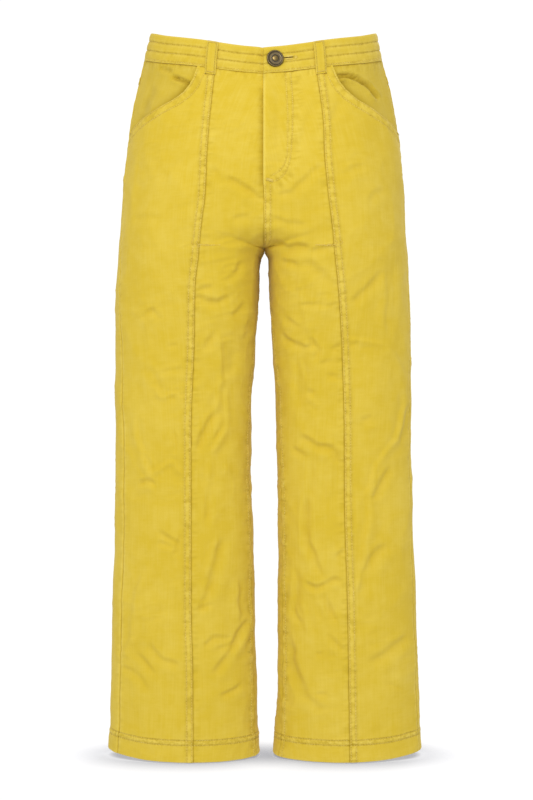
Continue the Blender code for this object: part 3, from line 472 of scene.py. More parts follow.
class Half:
    """The garment surface of one half, as sections at many levels that are read by drop and girth.

    Girth is 0 at the centre front or inner leg, 1 at the widest point of the side, 2 at the centre back.
    """

    GIRTH_STEPS = 160
    LEVEL_STEP = 5.0

    def __init__(self, side):
        self.side = side
        self.name = "left" if side == LEFT else "right"
        above_crotch = CROTCH_DROP - np.geomspace(0.05, 60, 50)
        below_crotch = CROTCH_DROP + np.arange(0, 14, 0.5)
        evenly = np.append(np.arange(0, HEM_DROP, self.LEVEL_STEP), HEM_DROP)
        self.drops = np.unique(np.concatenate([evenly, above_crotch, below_crotch]))
        across = []
        out = []
        arcs = {"front": [], "back": []}
        for drop in self.drops:
            inner = level(LEVELS, "inner_" + self.name, drop)
            outer = level(LEVELS, "outer_" + self.name, drop)
            ends = []
            for face, arc in arcs.items():
                place = inner + (outer - inner) * level(FULLNESS, face + "_place", drop)
                curve, square, blend = RISES[face]
                climb = np.clip((CROTCH_DROP - drop) / curve, 0.0, 1.0)
                stands = rise_share(climb, square, level(FULLNESS, face + "_centre", drop))
                reach = WEB_REACH[face] * climb + WEB_STARTS[face]
                corner = level(FRONT_CORNER, "corner", drop) if face == "front" else 2.0
                depth = level(LEVELS, face, drop)
                points = quarter(inner, place, outer, depth, stands, reach, blend, corner)
                *even, length = by_length(*points, self.GIRTH_STEPS + 1)
                arc.append(length)
                ends.append(even)
            (front_across, front_out), (back_across, back_out) = ends
            across.append(np.concatenate([front_across, back_across[-2::-1]]))
            out.append(np.concatenate([-front_out, back_out[-2::-1]]))
        self.across = np.array(across)
        self.out = np.array(out)
        self.front_arc = np.array(arcs["front"])
        self.back_arc = np.array(arcs["back"])
        self.stations = np.union1d(np.arange(0.0, HEM_DROP + 1), self.drops)
        front_seam = level(FRONT_SEAM, self.name, self.stations)
        self.seams = {"front": self.length_across(self.stations, front_seam)}
        self.seams["side"] = self.front(self.stations) - level(SIDE_SEAM, self.name, self.stations)
        below = ease((self.stations - CROTCH_DROP) / INSEAM_FADES)
        self.seams["inner"] = INSEAM_FORWARD[side] * below
        self.seams["last"] = self.seams["inner"] + self.front(self.stations) + self.back(self.stations)

    def front(self, drop):
        return np.interp(drop, self.drops, self.front_arc)

    def back(self, drop):
        return np.interp(drop, self.drops, self.back_arc)

    def seam(self, name, drop):
        """The length at which a seam lies: inner, front, side, or last, the inner seam from behind."""
        return np.interp(drop, self.stations, self.seams[name])

    def girth(self, drop, length):
        front = self.front(drop)
        back = self.back(drop)
        round_side = np.where(length < front, length / front, 1 + (length - front) / back)
        return np.where(length > front + back, 2 + (length - front - back) / front, round_side)

    def same_from_side(self, drop, girth, other):
        """The girth at another drop that lies as far round from the side."""
        front = 1 - (1 - girth) * self.front(drop) / self.front(other)
        back = 1 + (girth - 1) * self.back(drop) / self.back(other)
        inside = np.where(girth < 1, np.maximum(front, 0), np.minimum(back, 2))
        return np.where(girth > 2, girth, inside)

    def length_across(self, drop, across):
        """The length at which the front lies this far from the centre, at each of the drops."""
        fine = np.linspace(0.0, 1.0, self.GIRTH_STEPS + 1)
        drops = np.atleast_1d(np.asarray(drop, float))
        found = []
        for one_drop, one_across in zip(drops, np.broadcast_to(across, drops.shape)):
            found.append(np.interp(one_across, self.read(self.across, one_drop, fine), fine))
        return np.array(found) * self.front(drops)

    def read(self, grid, drop, girth):
        """A value of the sections between their levels and points."""
        row = np.clip(np.searchsorted(self.drops, drop, side="right") - 1, 0, len(self.drops) - 2)
        down = np.clip((drop - self.drops[row]) / (self.drops[row + 1] - self.drops[row]), 0.0, 1.0)
        place = np.where(girth > 2, girth - 2, girth) * self.GIRTH_STEPS
        column = np.clip(np.floor(place).astype(int), 0, grid.shape[1] - 2)
        along = np.clip(place - column, 0.0, 1.0)
        upper = grid[row, column] * (1 - along) + grid[row, column + 1] * along
        lower = grid[row + 1, column] * (1 - along) + grid[row + 1, column + 1] * along
        return upper * (1 - down) + lower * down

    def lift(self, drop, girth):
        """How far the edge's own line raises this point: all of it at the edge, fading over the cloth."""
        girth = np.where(girth > 2, girth - 2, girth)
        waist = smooth(EDGES["girth"], EDGES["waist"], girth) * (1 - ease(drop / WAIST_EDGE_FADES))
        hem = smooth(EDGES["girth"], EDGES["hem"], girth) * ease((drop - HEM_DROP) / HEM_EDGE_FADES + 1)
        return waist + hem

    def creases(self, drop, across, out, rows=CREASES):
        """Height of the listed creases at these places."""
        total = np.zeros(drop.shape)
        for half, face, x0, y0, x1, y1, bow, width, height in zip(*rows.values()):
            if half != self.side:
                continue
            reach = CREASE_REACH * width + abs(bow)
            near = (drop > min(y0, y1) - reach) & (drop < max(y0, y1) + reach)
            near &= (across > min(x0, x1) - reach) & (across < max(x0, x1) + reach)
            near &= out > -FACE_REACH if face == BACK else out < FACE_REACH
            if not near.any():
                continue
            run = math.hypot(x1 - x0, y1 - y0)
            ahead = ((x1 - x0) / run, (y1 - y0) / run)
            x = across[near] - x0
            y = drop[near] - y0
            along = (x * ahead[0] + y * ahead[1]) / run
            above = x * ahead[1] - y * ahead[0] - bow * 4 * along * (1 - along)
            above = above if ahead[0] >= 0 else -above
            place = along * run
            above = above + 0.3 * width * noise(place / 13, x0 / 9, y0 / 9, 81)
            uneven = 1 + 0.4 * noise(place / 17, x0 / 7, y0 / 7, 82)
            fade = min(0.5, 0.25 + width / run / 2)
            ends = ease(along / fade + 0.5) * ease((1 - along) / fade + 0.5)
            facing = ease(out[near] / 20 if face == BACK else -out[near] / 20)
            spread = CREASE_NARROWS * width * np.where(above > 0, STEEP_SIDE, GENTLE_SIDE)
            shape = bell(above, spread) - SWELL * bell(np.abs(above) - 2 * spread, spread)
            total[near] += height * shape * ends * facing * uneven
        return total * sizes().creases

    def shape(self, drop, girth):
        """Where the smooth surface lies, its facing, and how far creases and rumples move it."""
        across = self.read(self.across, drop, girth)
        out = self.read(self.out, drop, girth)
        around = drop > CROTCH_DROP
        ahead = np.where(around, girth + NEAR_GIRTH, np.minimum(girth + NEAR_GIRTH, 2))
        wrapped = np.where(girth < NEAR_GIRTH, girth + 2 - NEAR_GIRTH, girth - NEAR_GIRTH)
        behind = np.where(around, wrapped, np.maximum(girth - NEAR_GIRTH, 0))
        along_across = self.read(self.across, drop, ahead) - self.read(self.across, drop, behind)
        along_out = self.read(self.out, drop, ahead) - self.read(self.out, drop, behind)
        run = np.hypot(along_across, along_out)
        facing = (along_out / run, -along_across / run)
        lower, upper = drop + NEAR_DROP, drop - NEAR_DROP
        below, above = (self.same_from_side(drop, girth, level_with) for level_with in (lower, upper))
        down_across = self.read(self.across, lower, below) - self.read(self.across, upper, above)
        down_out = self.read(self.out, lower, below) - self.read(self.out, upper, above)
        tilt = (facing[0] * down_across + facing[1] * down_out) / (2 * NEAR_DROP)
        tilt = np.clip(tilt, -MOST_TILT, MOST_TILT)
        top, full = CREASES_START_BELOW
        start = ease((drop - top) / (full - top))
        crease = self.creases(drop, across, out) * start
        uneven = BAND_RUMPLES + (1 - BAND_RUMPLES) * start
        soft = rumple(across * self.side, out, drop) * uneven * sizes().rumples
        return across, out, facing, tilt, crease, soft

    def place(self, drop, length, stands_out=0.0, masks=False):
        """The points at these drops and lengths, moved out from the surface, as an array of x, y, z."""
        drop, length = np.broadcast_arrays(np.asarray(drop, float), np.asarray(length, float))
        girth = self.girth(drop, length)
        across, out, facing, tilt, crease, soft = self.shape(drop, girth)
        slope = np.sqrt(1 + tilt * tilt)
        moved = stands_out + crease + soft
        across = np.maximum(across + facing[0] / slope * moved, SEAM_GAP / 2)
        out = out + facing[1] / slope * moved
        height = self.lift(drop, girth) - drop + tilt / slope * moved
        points = np.stack([across * self.side, out, height], axis=-1)
        return (points, crease + 0.5 * soft) if masks else points


def sizes():
    """The sizes as the user has set them, in metres."""
    return bpy.context.scene.jeans_sizes


def in_mm(length):
    return length / MM


SURFACE = {side: Half(side) for side in (LEFT, RIGHT)}

# A felled seam's rows of stitches lie this far from its edge and from the band's other side.
ROW_FROM_SEAM = 1.5
ROW_FROM_BAND = 1.4
STITCH_SINKS = 0.85
MOUTH_ROW = 11.2
INSEAM_ROW = 5.6
HEM_ROWS_APART = 7.0
# How far a piece runs on beneath the one that is felled over it.
TUCK = 2.5
UNDER_BAND = 1.6
# How far the two sides of the centre seams reach over the centre, and where the band's end lies.
CENTRE_LAPS = {LEFT: -0.5, RIGHT: -1.5}
BAND_END = -1.25
# About how wide each piece is, which sets the number of its mesh columns.
INNER_WIDTH = 175.0
OUTER_WIDTH = 140.0
POCKET_WIDTH = 120.0
BACK_WIDTH = 258.0
BACK_SPAN = 250.0
BAND_WIDTH = 400.0
YOKE_DEPTH = 50.0
# Distances of mesh columns from a seam, closer together where stitches sink in.
FELLED = (0.0, 0.4, 0.9, 1.5, 2.1, 2.8, 4.0, 5.4, 6.6, 7.3, 7.9, 8.5, 9.2, 10.2, 12.0)
TUCKED = (0.0, 1.4, 2.2, 2.7, 3.3, 4.2, 5.6)
PLAIN = (0.0, 0.5, 1.1, 2.0, 3.4, 5.2)
MOUTH_COLUMNS = tuple(np.arange(13.4, 42.0, 1.4))
COLUMN_STEP = 3.0
# Where the outer half of a front inner panel's columns lie: this far from the long front seam at most.
SETTLED_SHARE = 0.75
SETTLED_WIDTH = 60.0
EDGE_ROWS = (0.0, 0.9, 1.5, 2.0, 2.6, 3.4, 4.6)
MOUTH_ROWS = (0.0, 0.4, 0.9, 1.5, 2.1, 2.9, 4.2, 5.8, 7.4, 8.8, 9.8, 10.4, 11.0, 11.6, 12.3, 13.4)
HEM_ROWS = (32, 31, 30.2, 29.6, 29, 28.4, 27.8, 26.8, 25.4, 24, 23.2, 22.6, 22, 21.4, 20.8, 19.8, 18)
HEM_FOOT = (3.0, 1.6, 0.8, 0.3, 0.0)
CROTCH_ROWS = (-14, -11, -8.5, -6.4, -4.6, -3, -1.8, -0.8, 0, 0.8, 1.8, 3, 4.6, 6.4, 8.5, 11, 14)


class Relief:
    """How a piece stands out from the garment surface, its thickness, and where its colour is paler or
    deeper: wear and deeper dye, and painted highlight and painted shade.
    """

    def __init__(self, half, drop, length, stand=0.0, wall=None):
        self.half = half
        self.drop, self.length = np.broadcast_arrays(np.asarray(drop, float), np.asarray(length, float))
        self.stand = np.zeros(self.drop.shape) + stand
        self.wall = np.zeros(self.drop.shape) + (in_mm(sizes().cloth) if wall is None else wall)
        self.worn = np.zeros(self.drop.shape)
        self.deep_dye_and_shade = np.zeros(self.drop.shape)
        self.stitched = np.zeros(self.drop.shape)

    def stitches(self, distance, depth=0.4, where=1.0):
        """A row of stitches pulls the cloth in along its line."""
        groove = bell(distance, STITCH_SINKS) * where
        self.stand -= depth * groove
        # Painted shade in the groove.
        self.deep_dye_and_shade += 0.4 * groove
        self.stitched += bell(distance, 1.7) * where

    def puckers(self, distance, along, seed, where=1.0, amount=1.0):
        """Cloth drawn up by its stitches: short ridges across the seam that fade into the cloth."""
        fine = noise(along / 2.6, distance / 9, 0.0, seed)
        broad = noise(along / 6.3, distance / 17, 0.0, seed + 1)
        where = where * amount * sizes().puckers
        ridges = 0.34 * fine * bell(distance - 4.5, 6.5) + 0.42 * broad * bell(distance - 4, 12)
        self.stand += ridges * where
        marks = bell(distance - 4.5, 5.5) * where
        # Ridges paler, as wear and painted highlight; troughs darker, as painted shade.
        self.worn += 0.8 * np.clip(fine, 0, 1) * marks
        self.deep_dye_and_shade += 0.9 * np.clip(-fine, 0, 1) * marks

    def felled(self, distance, along, seed, where=1.0, width=None, rows=2):
        """A seam's band on the piece that lies on top, with its rows of stitches and its rolled edge."""
        width = in_mm(sizes().seam_width) if width is None else width
        band = ease((distance + 0.2) / 0.8) * (1 - ease((distance - width + 0.7) / 1.5)) * where
        self.stand += in_mm(sizes().seam_height) * band
        self.wall += in_mm(sizes().seam_height) * band
        if rows == 2:
            self.stitches(distance - ROW_FROM_SEAM, where=where)
        self.stitches(distance - width + ROW_FROM_BAND, where=where)
        self.puckers(distance, along, seed, where)
        self.worn += 0.22 * band + 0.3 * bell(distance - 0.4, 0.6) * where
        # Painted shade just past the band's edge.
        self.deep_dye_and_shade += 0.25 * bell(distance - width - 0.6, 1.0) * where

    def under(self, distance, seed=0, where=1.0):
        """A piece's edge going in beneath the one that is felled over it."""
        down = 1 - ease((distance + 0.6) / 1.9)
        self.stand -= (0.85 * down + 0.35 * ease(-distance / TUCK)) * where
        # Painted shade where the edge goes in beneath the other piece.
        self.deep_dye_and_shade += 1.4 * bell(np.maximum(distance, 0), 1.3) * where
        if seed:
            self.puckers(distance + 2, self.drop, seed, where, 0.7)

    def plain(self, distance, seed, where=1.0):
        """One side of a plain pressed seam: the cloth turns in, and runs a little full beside it."""
        self.stand -= (0.9 * (1 - ease((distance + 0.2) / 1.5)) - 0.25 * bell(distance - 4, 3)) * where
        # Painted shade in the seam's groove, and a paler strip on the full cloth beside it, as wear and
        # painted highlight.
        self.deep_dye_and_shade += 0.8 * bell(distance, 0.9) * where
        self.worn += 0.45 * bell(distance - 2.6, 1.8) * where
        self.puckers(distance + 3, self.drop, seed, where, 0.5)

    def rolled(self, distance, turned, where=1.0):
        """A folded free edge, as thick as its turned-in layer and rounded over."""
        self.wall += in_mm(sizes().cloth) * (1 - ease((distance - turned) / 1.0)) * where
        nose = (1 - ease(distance / 1.1)) * where
        self.stand -= 0.55 * nose
        self.wall -= 1.1 * nose
        self.worn += 0.8 * bell(distance - 0.5, 0.9) * where

    def hem(self, seed):
        """The turned-up hem: two sunk rows of stitches, the cloth roped between them, and a soft edge."""
        up = HEM_DROP - self.drop
        turn = in_mm(sizes().hem_turn)
        inside = 1 - ease((up - turn - 0.4) / 1.2)
        self.wall += in_mm(sizes().cloth) * inside
        self.stand += 0.35 * inside
        around = self.length * self.half.side
        low_row = turn - HEM_ROWS_APART
        self.stitches(up - turn + 0.6, 0.75)
        self.stitches(up - low_row, 0.7)
        # Painted shade along both sunk rows.
        self.deep_dye_and_shade += 0.5 * bell(up - turn + 0.4, 0.9) + 0.4 * bell(up - low_row, 0.8)
        between = bell(up - turn + HEM_ROWS_APART / 2 + 0.3, 2.8)
        rope = noise((around + 1.1 * up) / 5.2, up / 12, 0.0, seed)
        self.stand += (0.5 + 0.4 * rope * sizes().puckers) * between
        # The roped cloth is paler on its ridges, as wear and painted highlight, and darker in its troughs,
        # as painted shade.
        self.worn += np.clip(0.3 + 0.5 * rope, 0, 1) * between
        self.deep_dye_and_shade += 0.4 * np.clip(-rope, 0, 1) * between
        self.stitched += between
        skew = noise((around + 0.8 * up) / 11, up / 30, 0.0, seed + 5)
        self.stand += 0.4 * skew * bell(up - 12, 12) * sizes().puckers
        above = np.clip(up - turn, 0, 60)
        self.stand += 0.35 * noise(around / 9, above / 26, 0.0, seed + 7) * bell(above, 16) * (up > turn)
        nose = 1 - ease(up / 1.4)
        self.stand -= 0.7 * nose
        self.wall -= 1.4 * nose
        self.worn += 0.6 * bell(up - 0.6, 1.0)


def columns(width, near_start, near_end, step):
    """Places across a piece: set distances beside each seam, and even steps between them, an odd number."""
    fixed = near_start[-1] + near_end[-1]
    count = max(2, round((width - fixed) / step))
    count += (len(near_start) + len(near_end) + count) % 2
    middle = np.linspace(0, 1, count + 1)[1:-1]
    from_end = fixed - np.array(near_end[::-1])
    offset = np.concatenate([near_start, np.full(len(middle), near_start[-1]), from_end])
    part = np.concatenate([np.zeros(len(near_start)), middle, np.ones(len(near_end))])
    return offset, part, fixed


def across_piece(start, end, places):
    offset, part, fixed = places
    return start + offset + part * (end - start - fixed)


def part_across(places, width):
    """Each column's share of the way across a piece about this wide."""
    return across_piece(0.0, 1.0, (places[0] / width, places[1], places[2] / width))


def upright(places):
    """Places across a piece turned to places down it."""
    return [np.asarray(p)[:, None] if np.ndim(p) else p for p in places]


def across_leg(start, end, places):
    """Places across a front inner panel. Half of them keep their distance from the long front seam, and
    the others close up beside the fly and spread out over the inner leg, so none jumps at the crotch."""
    offset, part, fixed = places
    whole = end - start - fixed
    settled = np.minimum(SETTLED_SHARE * whole, SETTLED_WIDTH)
    from_end = settled * np.clip(2 - 2 * part, 0, 1) + (whole - settled) * np.clip(1 - 2 * part, 0, 1)
    return start + offset + whole - from_end


def odd(rows):
    """The same rows, with one more between the last two if their number is even."""
    if len(rows) % 2:
        return rows
    return np.insert(rows, -1, (rows[-2] + rows[-1]) / 2)


def leg_rows():
    """Drops of the mesh rows on a leg, closer together round the crotch and at the hem's stitches."""
    step = in_mm(sizes().mesh_step)
    crotch = CROTCH_DROP + np.array(CROTCH_ROWS)
    stitched = HEM_DROP - np.array(HEM_ROWS)
    foot = HEM_DROP - np.array(HEM_FOOT)
    spans = ((FIRST_LEVEL_ROW, crotch[0]), (crotch[-1], stitched[0]), (stitched[-1], foot[0]))
    evenly = [np.linspace(a, b, round((b - a) / step) + 1)[1:-1] for a, b in spans]
    return odd(np.concatenate([evenly[0], crotch, evenly[1], stitched, evenly[2], foot]))


def sheared_rows(tops, near_top):
    """Drops from each column's own top down to the hem: rows follow the top edge, then lie level."""
    places = columns(FIRST_LEVEL_ROW - tops.min(), near_top, (0.0,), in_mm(sizes().mesh_step))
    upper = across_piece(tops, FIRST_LEVEL_ROW, upright(places))
    level_rows = np.broadcast_to(leg_rows()[:, None], (len(leg_rows()), len(tops)))
    rows = np.concatenate([upper, level_rows])
    return rows if len(rows) % 2 else np.delete(rows, len(upper) - 1, axis=0)


def add_mesh(name, points, faces, finish, marks=None):
    """A closed mesh from points in millimetres, turned so that its faces point out."""
    triangles = np.array([(f[0], f[i], f[i + 1]) for f in faces for i in range(1, len(f) - 1)])
    a, b, c = (points[triangles[:, i]] for i in range(3))
    if np.einsum("ij,ij->i", a, np.cross(b, c)).sum() < 0:
        faces = [face[::-1] for face in faces]
    mesh = bpy.data.meshes.new(name)
    mesh.from_pydata((points * MM).tolist(), [], faces)
    for key, values in (marks or {}).items():
        kind = "FLOAT_VECTOR" if values.ndim == 2 else "FLOAT"
        field = "vector" if values.ndim == 2 else "value"
        made = mesh.attributes.new(key, kind, "POINT")
        made.data.foreach_set(field, np.ascontiguousarray(values, np.float32).ravel())
    mesh.materials.append(finish)
    mesh.shade_smooth()
    mesh.update()
    piece = bpy.data.objects.new(name, mesh)
    bpy.context.scene.collection.objects.link(piece)
    return piece


def grid_faces(rows, cols, first=0):
    """Quads between the points of a grid."""
    at = first + np.arange(rows * cols).reshape(rows, cols)
    corners = (at[:-1, :-1], at[:-1, 1:], at[1:, 1:], at[1:, :-1])
    return np.stack([corner.ravel() for corner in corners], axis=1).tolist()


def rim_of(rows, cols, first=0):
    """The points round a grid's edge, in order."""
    at = first + np.arange(rows * cols).reshape(rows, cols)
    return [*at[0], *at[1:, -1], *at[-1, -2::-1], *at[-2:0:-1, 0]]


def turned_faces(sides, rings):
    """Faces of a form with rings of points between two end points, in that order."""
    faces = [[0, 1 + (i + 1) % sides, 1 + i] for i in range(sides)]
    for low in range(1, 1 + (rings - 1) * sides, sides):
        high = low + sides
        faces += [[low + i, low + (i + 1) % sides, high + (i + 1) % sides, high + i] for i in range(sides)]
    last = 1 + (rings - 1) * sides
    return faces + [[last + i, last + (i + 1) % sides, last + sides] for i in range(sides)]


def shell_faces(rows, cols):
    """A fine outer grid and an inner one with every second point, joined round their edges."""
    inner = rows * cols
    coarse = ((rows + 1) // 2, (cols + 1) // 2)
    faces = grid_faces(rows, cols) + [face[::-1] for face in grid_faces(*coarse, inner)]
    fine_rim = [int(i) for i in rim_of(rows, cols)]
    coarse_rim = [int(i) for i in rim_of(*coarse, inner)]
    for i, here in enumerate(coarse_rim):
        there = coarse_rim[(i + 1) % len(coarse_rim)]
        a, b, c = (fine_rim[(2 * i + j) % len(fine_rim)] for j in range(3))
        faces.append([c, b, a, here, there])
    return faces


def shell(name, outer, inner, finish, marks):
    """A closed piece of cloth from the grids of its two faces. Marks are grids like the outer one."""
    flat = {}
    for key, grid in marks.items():
        flat[key] = np.concatenate([g.reshape(-1, *g.shape[2:]) for g in (grid, grid[::2, ::2])])
    points = np.concatenate([outer.reshape(-1, 3), inner.reshape(-1, 3)])
    return add_mesh(name, points, shell_faces(*outer.shape[:2]), finish, flat)


def cloth(name, relief, finish, fix=None):
    """One piece of the garment from its relief, a grid of places on one half's surface."""
    half = relief.half
    outer, moved = half.place(relief.drop, relief.length, relief.stand, masks=True)
    thin = (slice(None, None, 2), slice(None, None, 2))
    inner = half.place(relief.drop[thin], relief.length[thin], relief.stand[thin] - relief.wall[thin])
    if fix:
        fix(outer, relief.drop)
        fix(inner, relief.drop[thin])
    return shell(name, outer, inner, finish, marks_of(relief, moved))


def on_cut(across, drop):
    """Places on the cloth as it was cut, in metres."""
    across, drop = np.broadcast_arrays(across, drop)
    return np.stack([across, drop, 0 * drop], axis=-1) * MM


def marks_of(relief, moved):
    """The marks that the materials read: place on the cut cloth, pale wear with painted highlight on
    ridges, and deeper dye at seams with painted shade in troughs and grooves.
    """
    from_side = relief.length - relief.half.front(relief.drop)
    cut = on_cut(from_side * relief.half.side, relief.drop)
    # Painted shade where creases and rumples sink the cloth.
    deep_dye_and_shade = 0.53 * relief.deep_dye_and_shade + np.clip(-moved - 0.6, 0, 3) / 15
    # Painted highlight where creases and rumples raise the cloth.
    pale = np.clip(relief.worn, 0, 1) + np.clip(moved - 1.2, 0, 2) / 8
    marks = {"worn": pale, "deep_dye_and_shade": deep_dye_and_shade, "stitched": relief.stitched}
    return {"cut": cut, **{key: np.clip(grid, 0, 1) for key, grid in marks.items()}}


def take(piece, nodes, flat=None):
    """Puts a piece on the frame in place of its nodes: hides them and attaches the piece to the root.
    The cut laid flat, flat, is not used.
    """
    if nodes:
        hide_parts(*nodes)
    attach(piece, "root")


def cut_of(half, first, last, top):
    """What shows of a leg piece, laid flat: its width and length, and its area."""
    drops = np.arange(top, HEM_DROP)
    widths = half.seam(last, drops) - half.seam(first, drops)
    return (widths.max(), HEM_DROP - top), widths.mean() * (HEM_DROP - top)


def line_beside(line, drop, length):
    """How far points lie from a line on the cloth (below and outside it is positive), and how far along."""
    best = np.full(drop.shape, 1e9)
    signed = np.full(drop.shape, 1e9)
    along = np.zeros(drop.shape)
    run = 0.0
    for (x0, y0), (x1, y1) in zip(line[:-1], line[1:]):
        step = math.hypot(x1 - x0, y1 - y0)
        ahead = ((x1 - x0) / step, (y1 - y0) / step)
        x, y = length - x0, drop - y0
        reach = np.clip(x * ahead[0] + y * ahead[1], 0, step)
        aside = np.hypot(x - ahead[0] * reach, y - ahead[1] * reach)
        nearer = aside < best
        best = np.where(nearer, aside, best)
        side = np.where(y * ahead[0] - x * ahead[1] < 0, -aside, aside)
        signed = np.where(nearer, side, signed)
        along = np.where(nearer, run + reach, along)
        run += step
    return signed, along


def moved_line(line, distance):
    """A line on the cloth moved aside by a distance: below and outside is positive."""
    line = np.asarray(line, float)
    ahead = np.gradient(line, axis=0)
    ahead /= np.linalg.norm(ahead, axis=1)[:, None]
    return line + np.stack([-ahead[:, 1], ahead[:, 0]], axis=1) * distance


def fly_line(drop):
    """How far the lapped edge reaches over the centre to the wearer's right: the width of its turn."""
    return LAP_TURN * (1 - ease((drop - BAND_DEPTH - FLY_LENGTH) / TURN_FADES))


def lap_share(drop):
    """1 along the fly, fading to nothing at its foot."""
    return 1 - ease((drop - BAND_DEPTH - FLY_LENGTH) / LAP_FADES)


# The fly's two curved rows of stitches, as distance from the centre front and drop.
FLY_OUTER_ROW = ((33, 37), (34, 45), (36.5, 98), (35.5, 140), (33.5, 172), (31, 187), (26.5, 198))
FLY_OUTER_ROW += ((19, 207), (8, 212))
FLY_INNER_ROW = ((27, 37), (29, 80), (30, 120), (29.8, 160), (28.5, 175), (25, 187), (19, 196), (8, 203))
CENTRE_SEAM_SEED = 31
# Below this drop the fly's rows are gone, and this is how far off they then count as.
FLY_ROWS_END = 225.0
FAR = 50.0


def on_cloth(half, line):
    """A line given by distance from the centre front and drop, as lengths and drops, rounded off."""
    line = np.asarray(line, float)
    run = run_of(line)
    fine = np.linspace(0, run[-1], 40)
    across, drop = (smooth(run, line[:, i], fine) for i in (0, 1))
    return np.stack([half.length_across(drop, across), drop], axis=1)


def front_inner_relief(half, drop, length):
    relief = Relief(half, drop, length)
    drop, length = relief.drop, relief.length
    relief.under(half.seam("front", drop) - length, seed=11)
    relief.under(drop - BAND_DEPTH)
    relief.puckers(drop - BAND_DEPTH, length, seed=12, where=1 - ease((drop - 60) / 20), amount=0.8)
    below_crotch = ease((drop - CROTCH_DROP) / 10)
    above_crotch = 1 - ease((drop - CROTCH_DROP + 4) / 4)
    inner = length - half.seam("inner", drop)
    relief.felled(inner, drop, seed=13 + half.side, where=below_crotch, width=7.0, rows=1)
    wide = noise(drop / 8.5, inner / 24, 0.0, 17 + half.side)
    relief.stand += 0.75 * wide * bell(inner - 6, 9) * below_crotch * sizes().puckers
    relief.worn += 0.6 * np.clip(wide, 0, 1) * bell(inner - 5, 6) * below_crotch
    lap = lap_share(drop)
    if half.side == LEFT:
        relief.stand += LAP_RISE * (1 - ease(length / LAP_WIDTH)) * lap
        relief.rolled(length + fly_line(drop), 11.0, lap)
        relief.worn += 0.9 * bell(length - 0.2, 1.2) * lap
        relief.felled(length, drop, CENTRE_SEAM_SEED, (1 - lap) * above_crotch)
        outer, along = line_beside(on_cloth(half, FLY_OUTER_ROW), drop, length)
        inner_row, _ = line_beside(on_cloth(half, FLY_INNER_ROW), drop, length)
        near = drop < FLY_ROWS_END
        relief.stitches(np.where(near, outer, FAR), 0.5)
        relief.stitches(np.where(near, inner_row, FAR), 0.5)
        relief.puckers(np.where(near, np.abs(outer + 3), FAR), along, seed=15, where=0.9)
        relief.stand += (0.5 * bell(length - 4.5, 3.5) + 0.5 * bell(length - 32, 2.6)) * lap
        beside_teeth = ease((drop - 50) / 20) * (1 - ease((drop - 158) / 14))
        relief.stand -= 0.9 * bell(length - 17, 4.0) * beside_teeth
        relief.stand -= 0.9 * bell(drop - 182 - length * 0.05, 3.0) * (1 - ease((length - 20) / 8))
    else:
        relief.under(length, seed=16, where=above_crotch)
        relief.stand -= 1.3 * bell(length, 8.0) * lap
        # Painted shade on this panel beside the lapped edge.
        relief.deep_dye_and_shade += 1.3 * bell(length - 1.5, 5.0) * lap * ease((drop - 50) / 30)
    # Painted shade at the centre front towards the crotch.
    relief.deep_dye_and_shade += 0.9 * bell(length, 3.5) * ease((drop - 255) / 30) * above_crotch
    relief.hem(21)
    return relief


def front_inner(half):
    """The leg panel between the centre front, or the inseam, and the long front seam."""
    first = PLAIN if half.side == RIGHT else FELLED
    places = columns(INNER_WIDTH, first, TUCKED, COLUMN_STEP)
    tops = np.full(len(places[0]), BAND_DEPTH - UNDER_BAND)
    drop = sheared_rows(tops, EDGE_ROWS)
    start = half.seam("inner", drop) + SEAM_GAP / 2
    length = across_leg(start, half.seam("front", drop) + TUCK, places)

    def to_centre(points, drops):
        above = drops[:, 0] < CROTCH_DROP - 1
        lap = fly_line(drops[above, 0]) if half.side == LEFT else 0.0
        points[above, 0, 0] = half.side * (CENTRE_LAPS[half.side] - lap)

    relief = front_inner_relief(half, drop, length)
    piece = cloth("leg_front_inner_" + half.name, relief, twill(), to_centre)
    flat, area = cut_of(half, "inner", "front", BAND_DEPTH)
    take(piece, ["front_inner_" + half.name], flat)


def mouth_drop(part):
    """The top of the outer panel: the waistband's seam, then the pocket mouth down to the side seam."""
    curve = smooth(POCKET_MOUTH["share"], POCKET_MOUTH["drop"], part)
    return np.where(part < POCKET_MOUTH["share"][0], BAND_DEPTH, curve)


def mouth_line(half):
    """The pocket mouth on the cloth, as lengths and drops, from the waistband to the side seam."""
    part = np.linspace(POCKET_MOUTH["share"][0], 1.0, 48)
    drop = mouth_drop(part)
    start = half.seam("front", drop)
    return np.stack([start + part * (half.seam("side", drop) - start), drop], axis=1)


def front_outer_relief(half, drop, length):
    relief = Relief(half, drop, length)
    drop, length = relief.drop, relief.length
    relief.felled(length - half.seam("front", drop), drop, seed=41 + half.side)
    relief.plain(half.seam("side", drop) - length, seed=43 + half.side)
    line = mouth_line(half)
    mouth, along = line_beside(line, drop, length)
    near = (drop < 175) & (length > line[0, 0] - 3)
    mouth = np.where(near, mouth, 60.0)
    mouth_start = ease((drop - BAND_DEPTH - 1) / 5)
    relief.rolled(mouth, 11.5, mouth_start)
    relief.stitches(mouth - ROW_FROM_SEAM, 0.35, mouth_start)
    relief.stitches(mouth - MOUTH_ROW, 0.5, mouth_start)
    relief.puckers(np.abs(mouth - 1), along, seed=45 + half.side, where=mouth_start, amount=1.1)
    relief.stand += 0.45 * bell(mouth - 6.3, 3.2) * mouth_start
    relief.under(drop - BAND_DEPTH + 50 * (length > line[0, 0] - 2))
    relief.hem(21)
    return relief


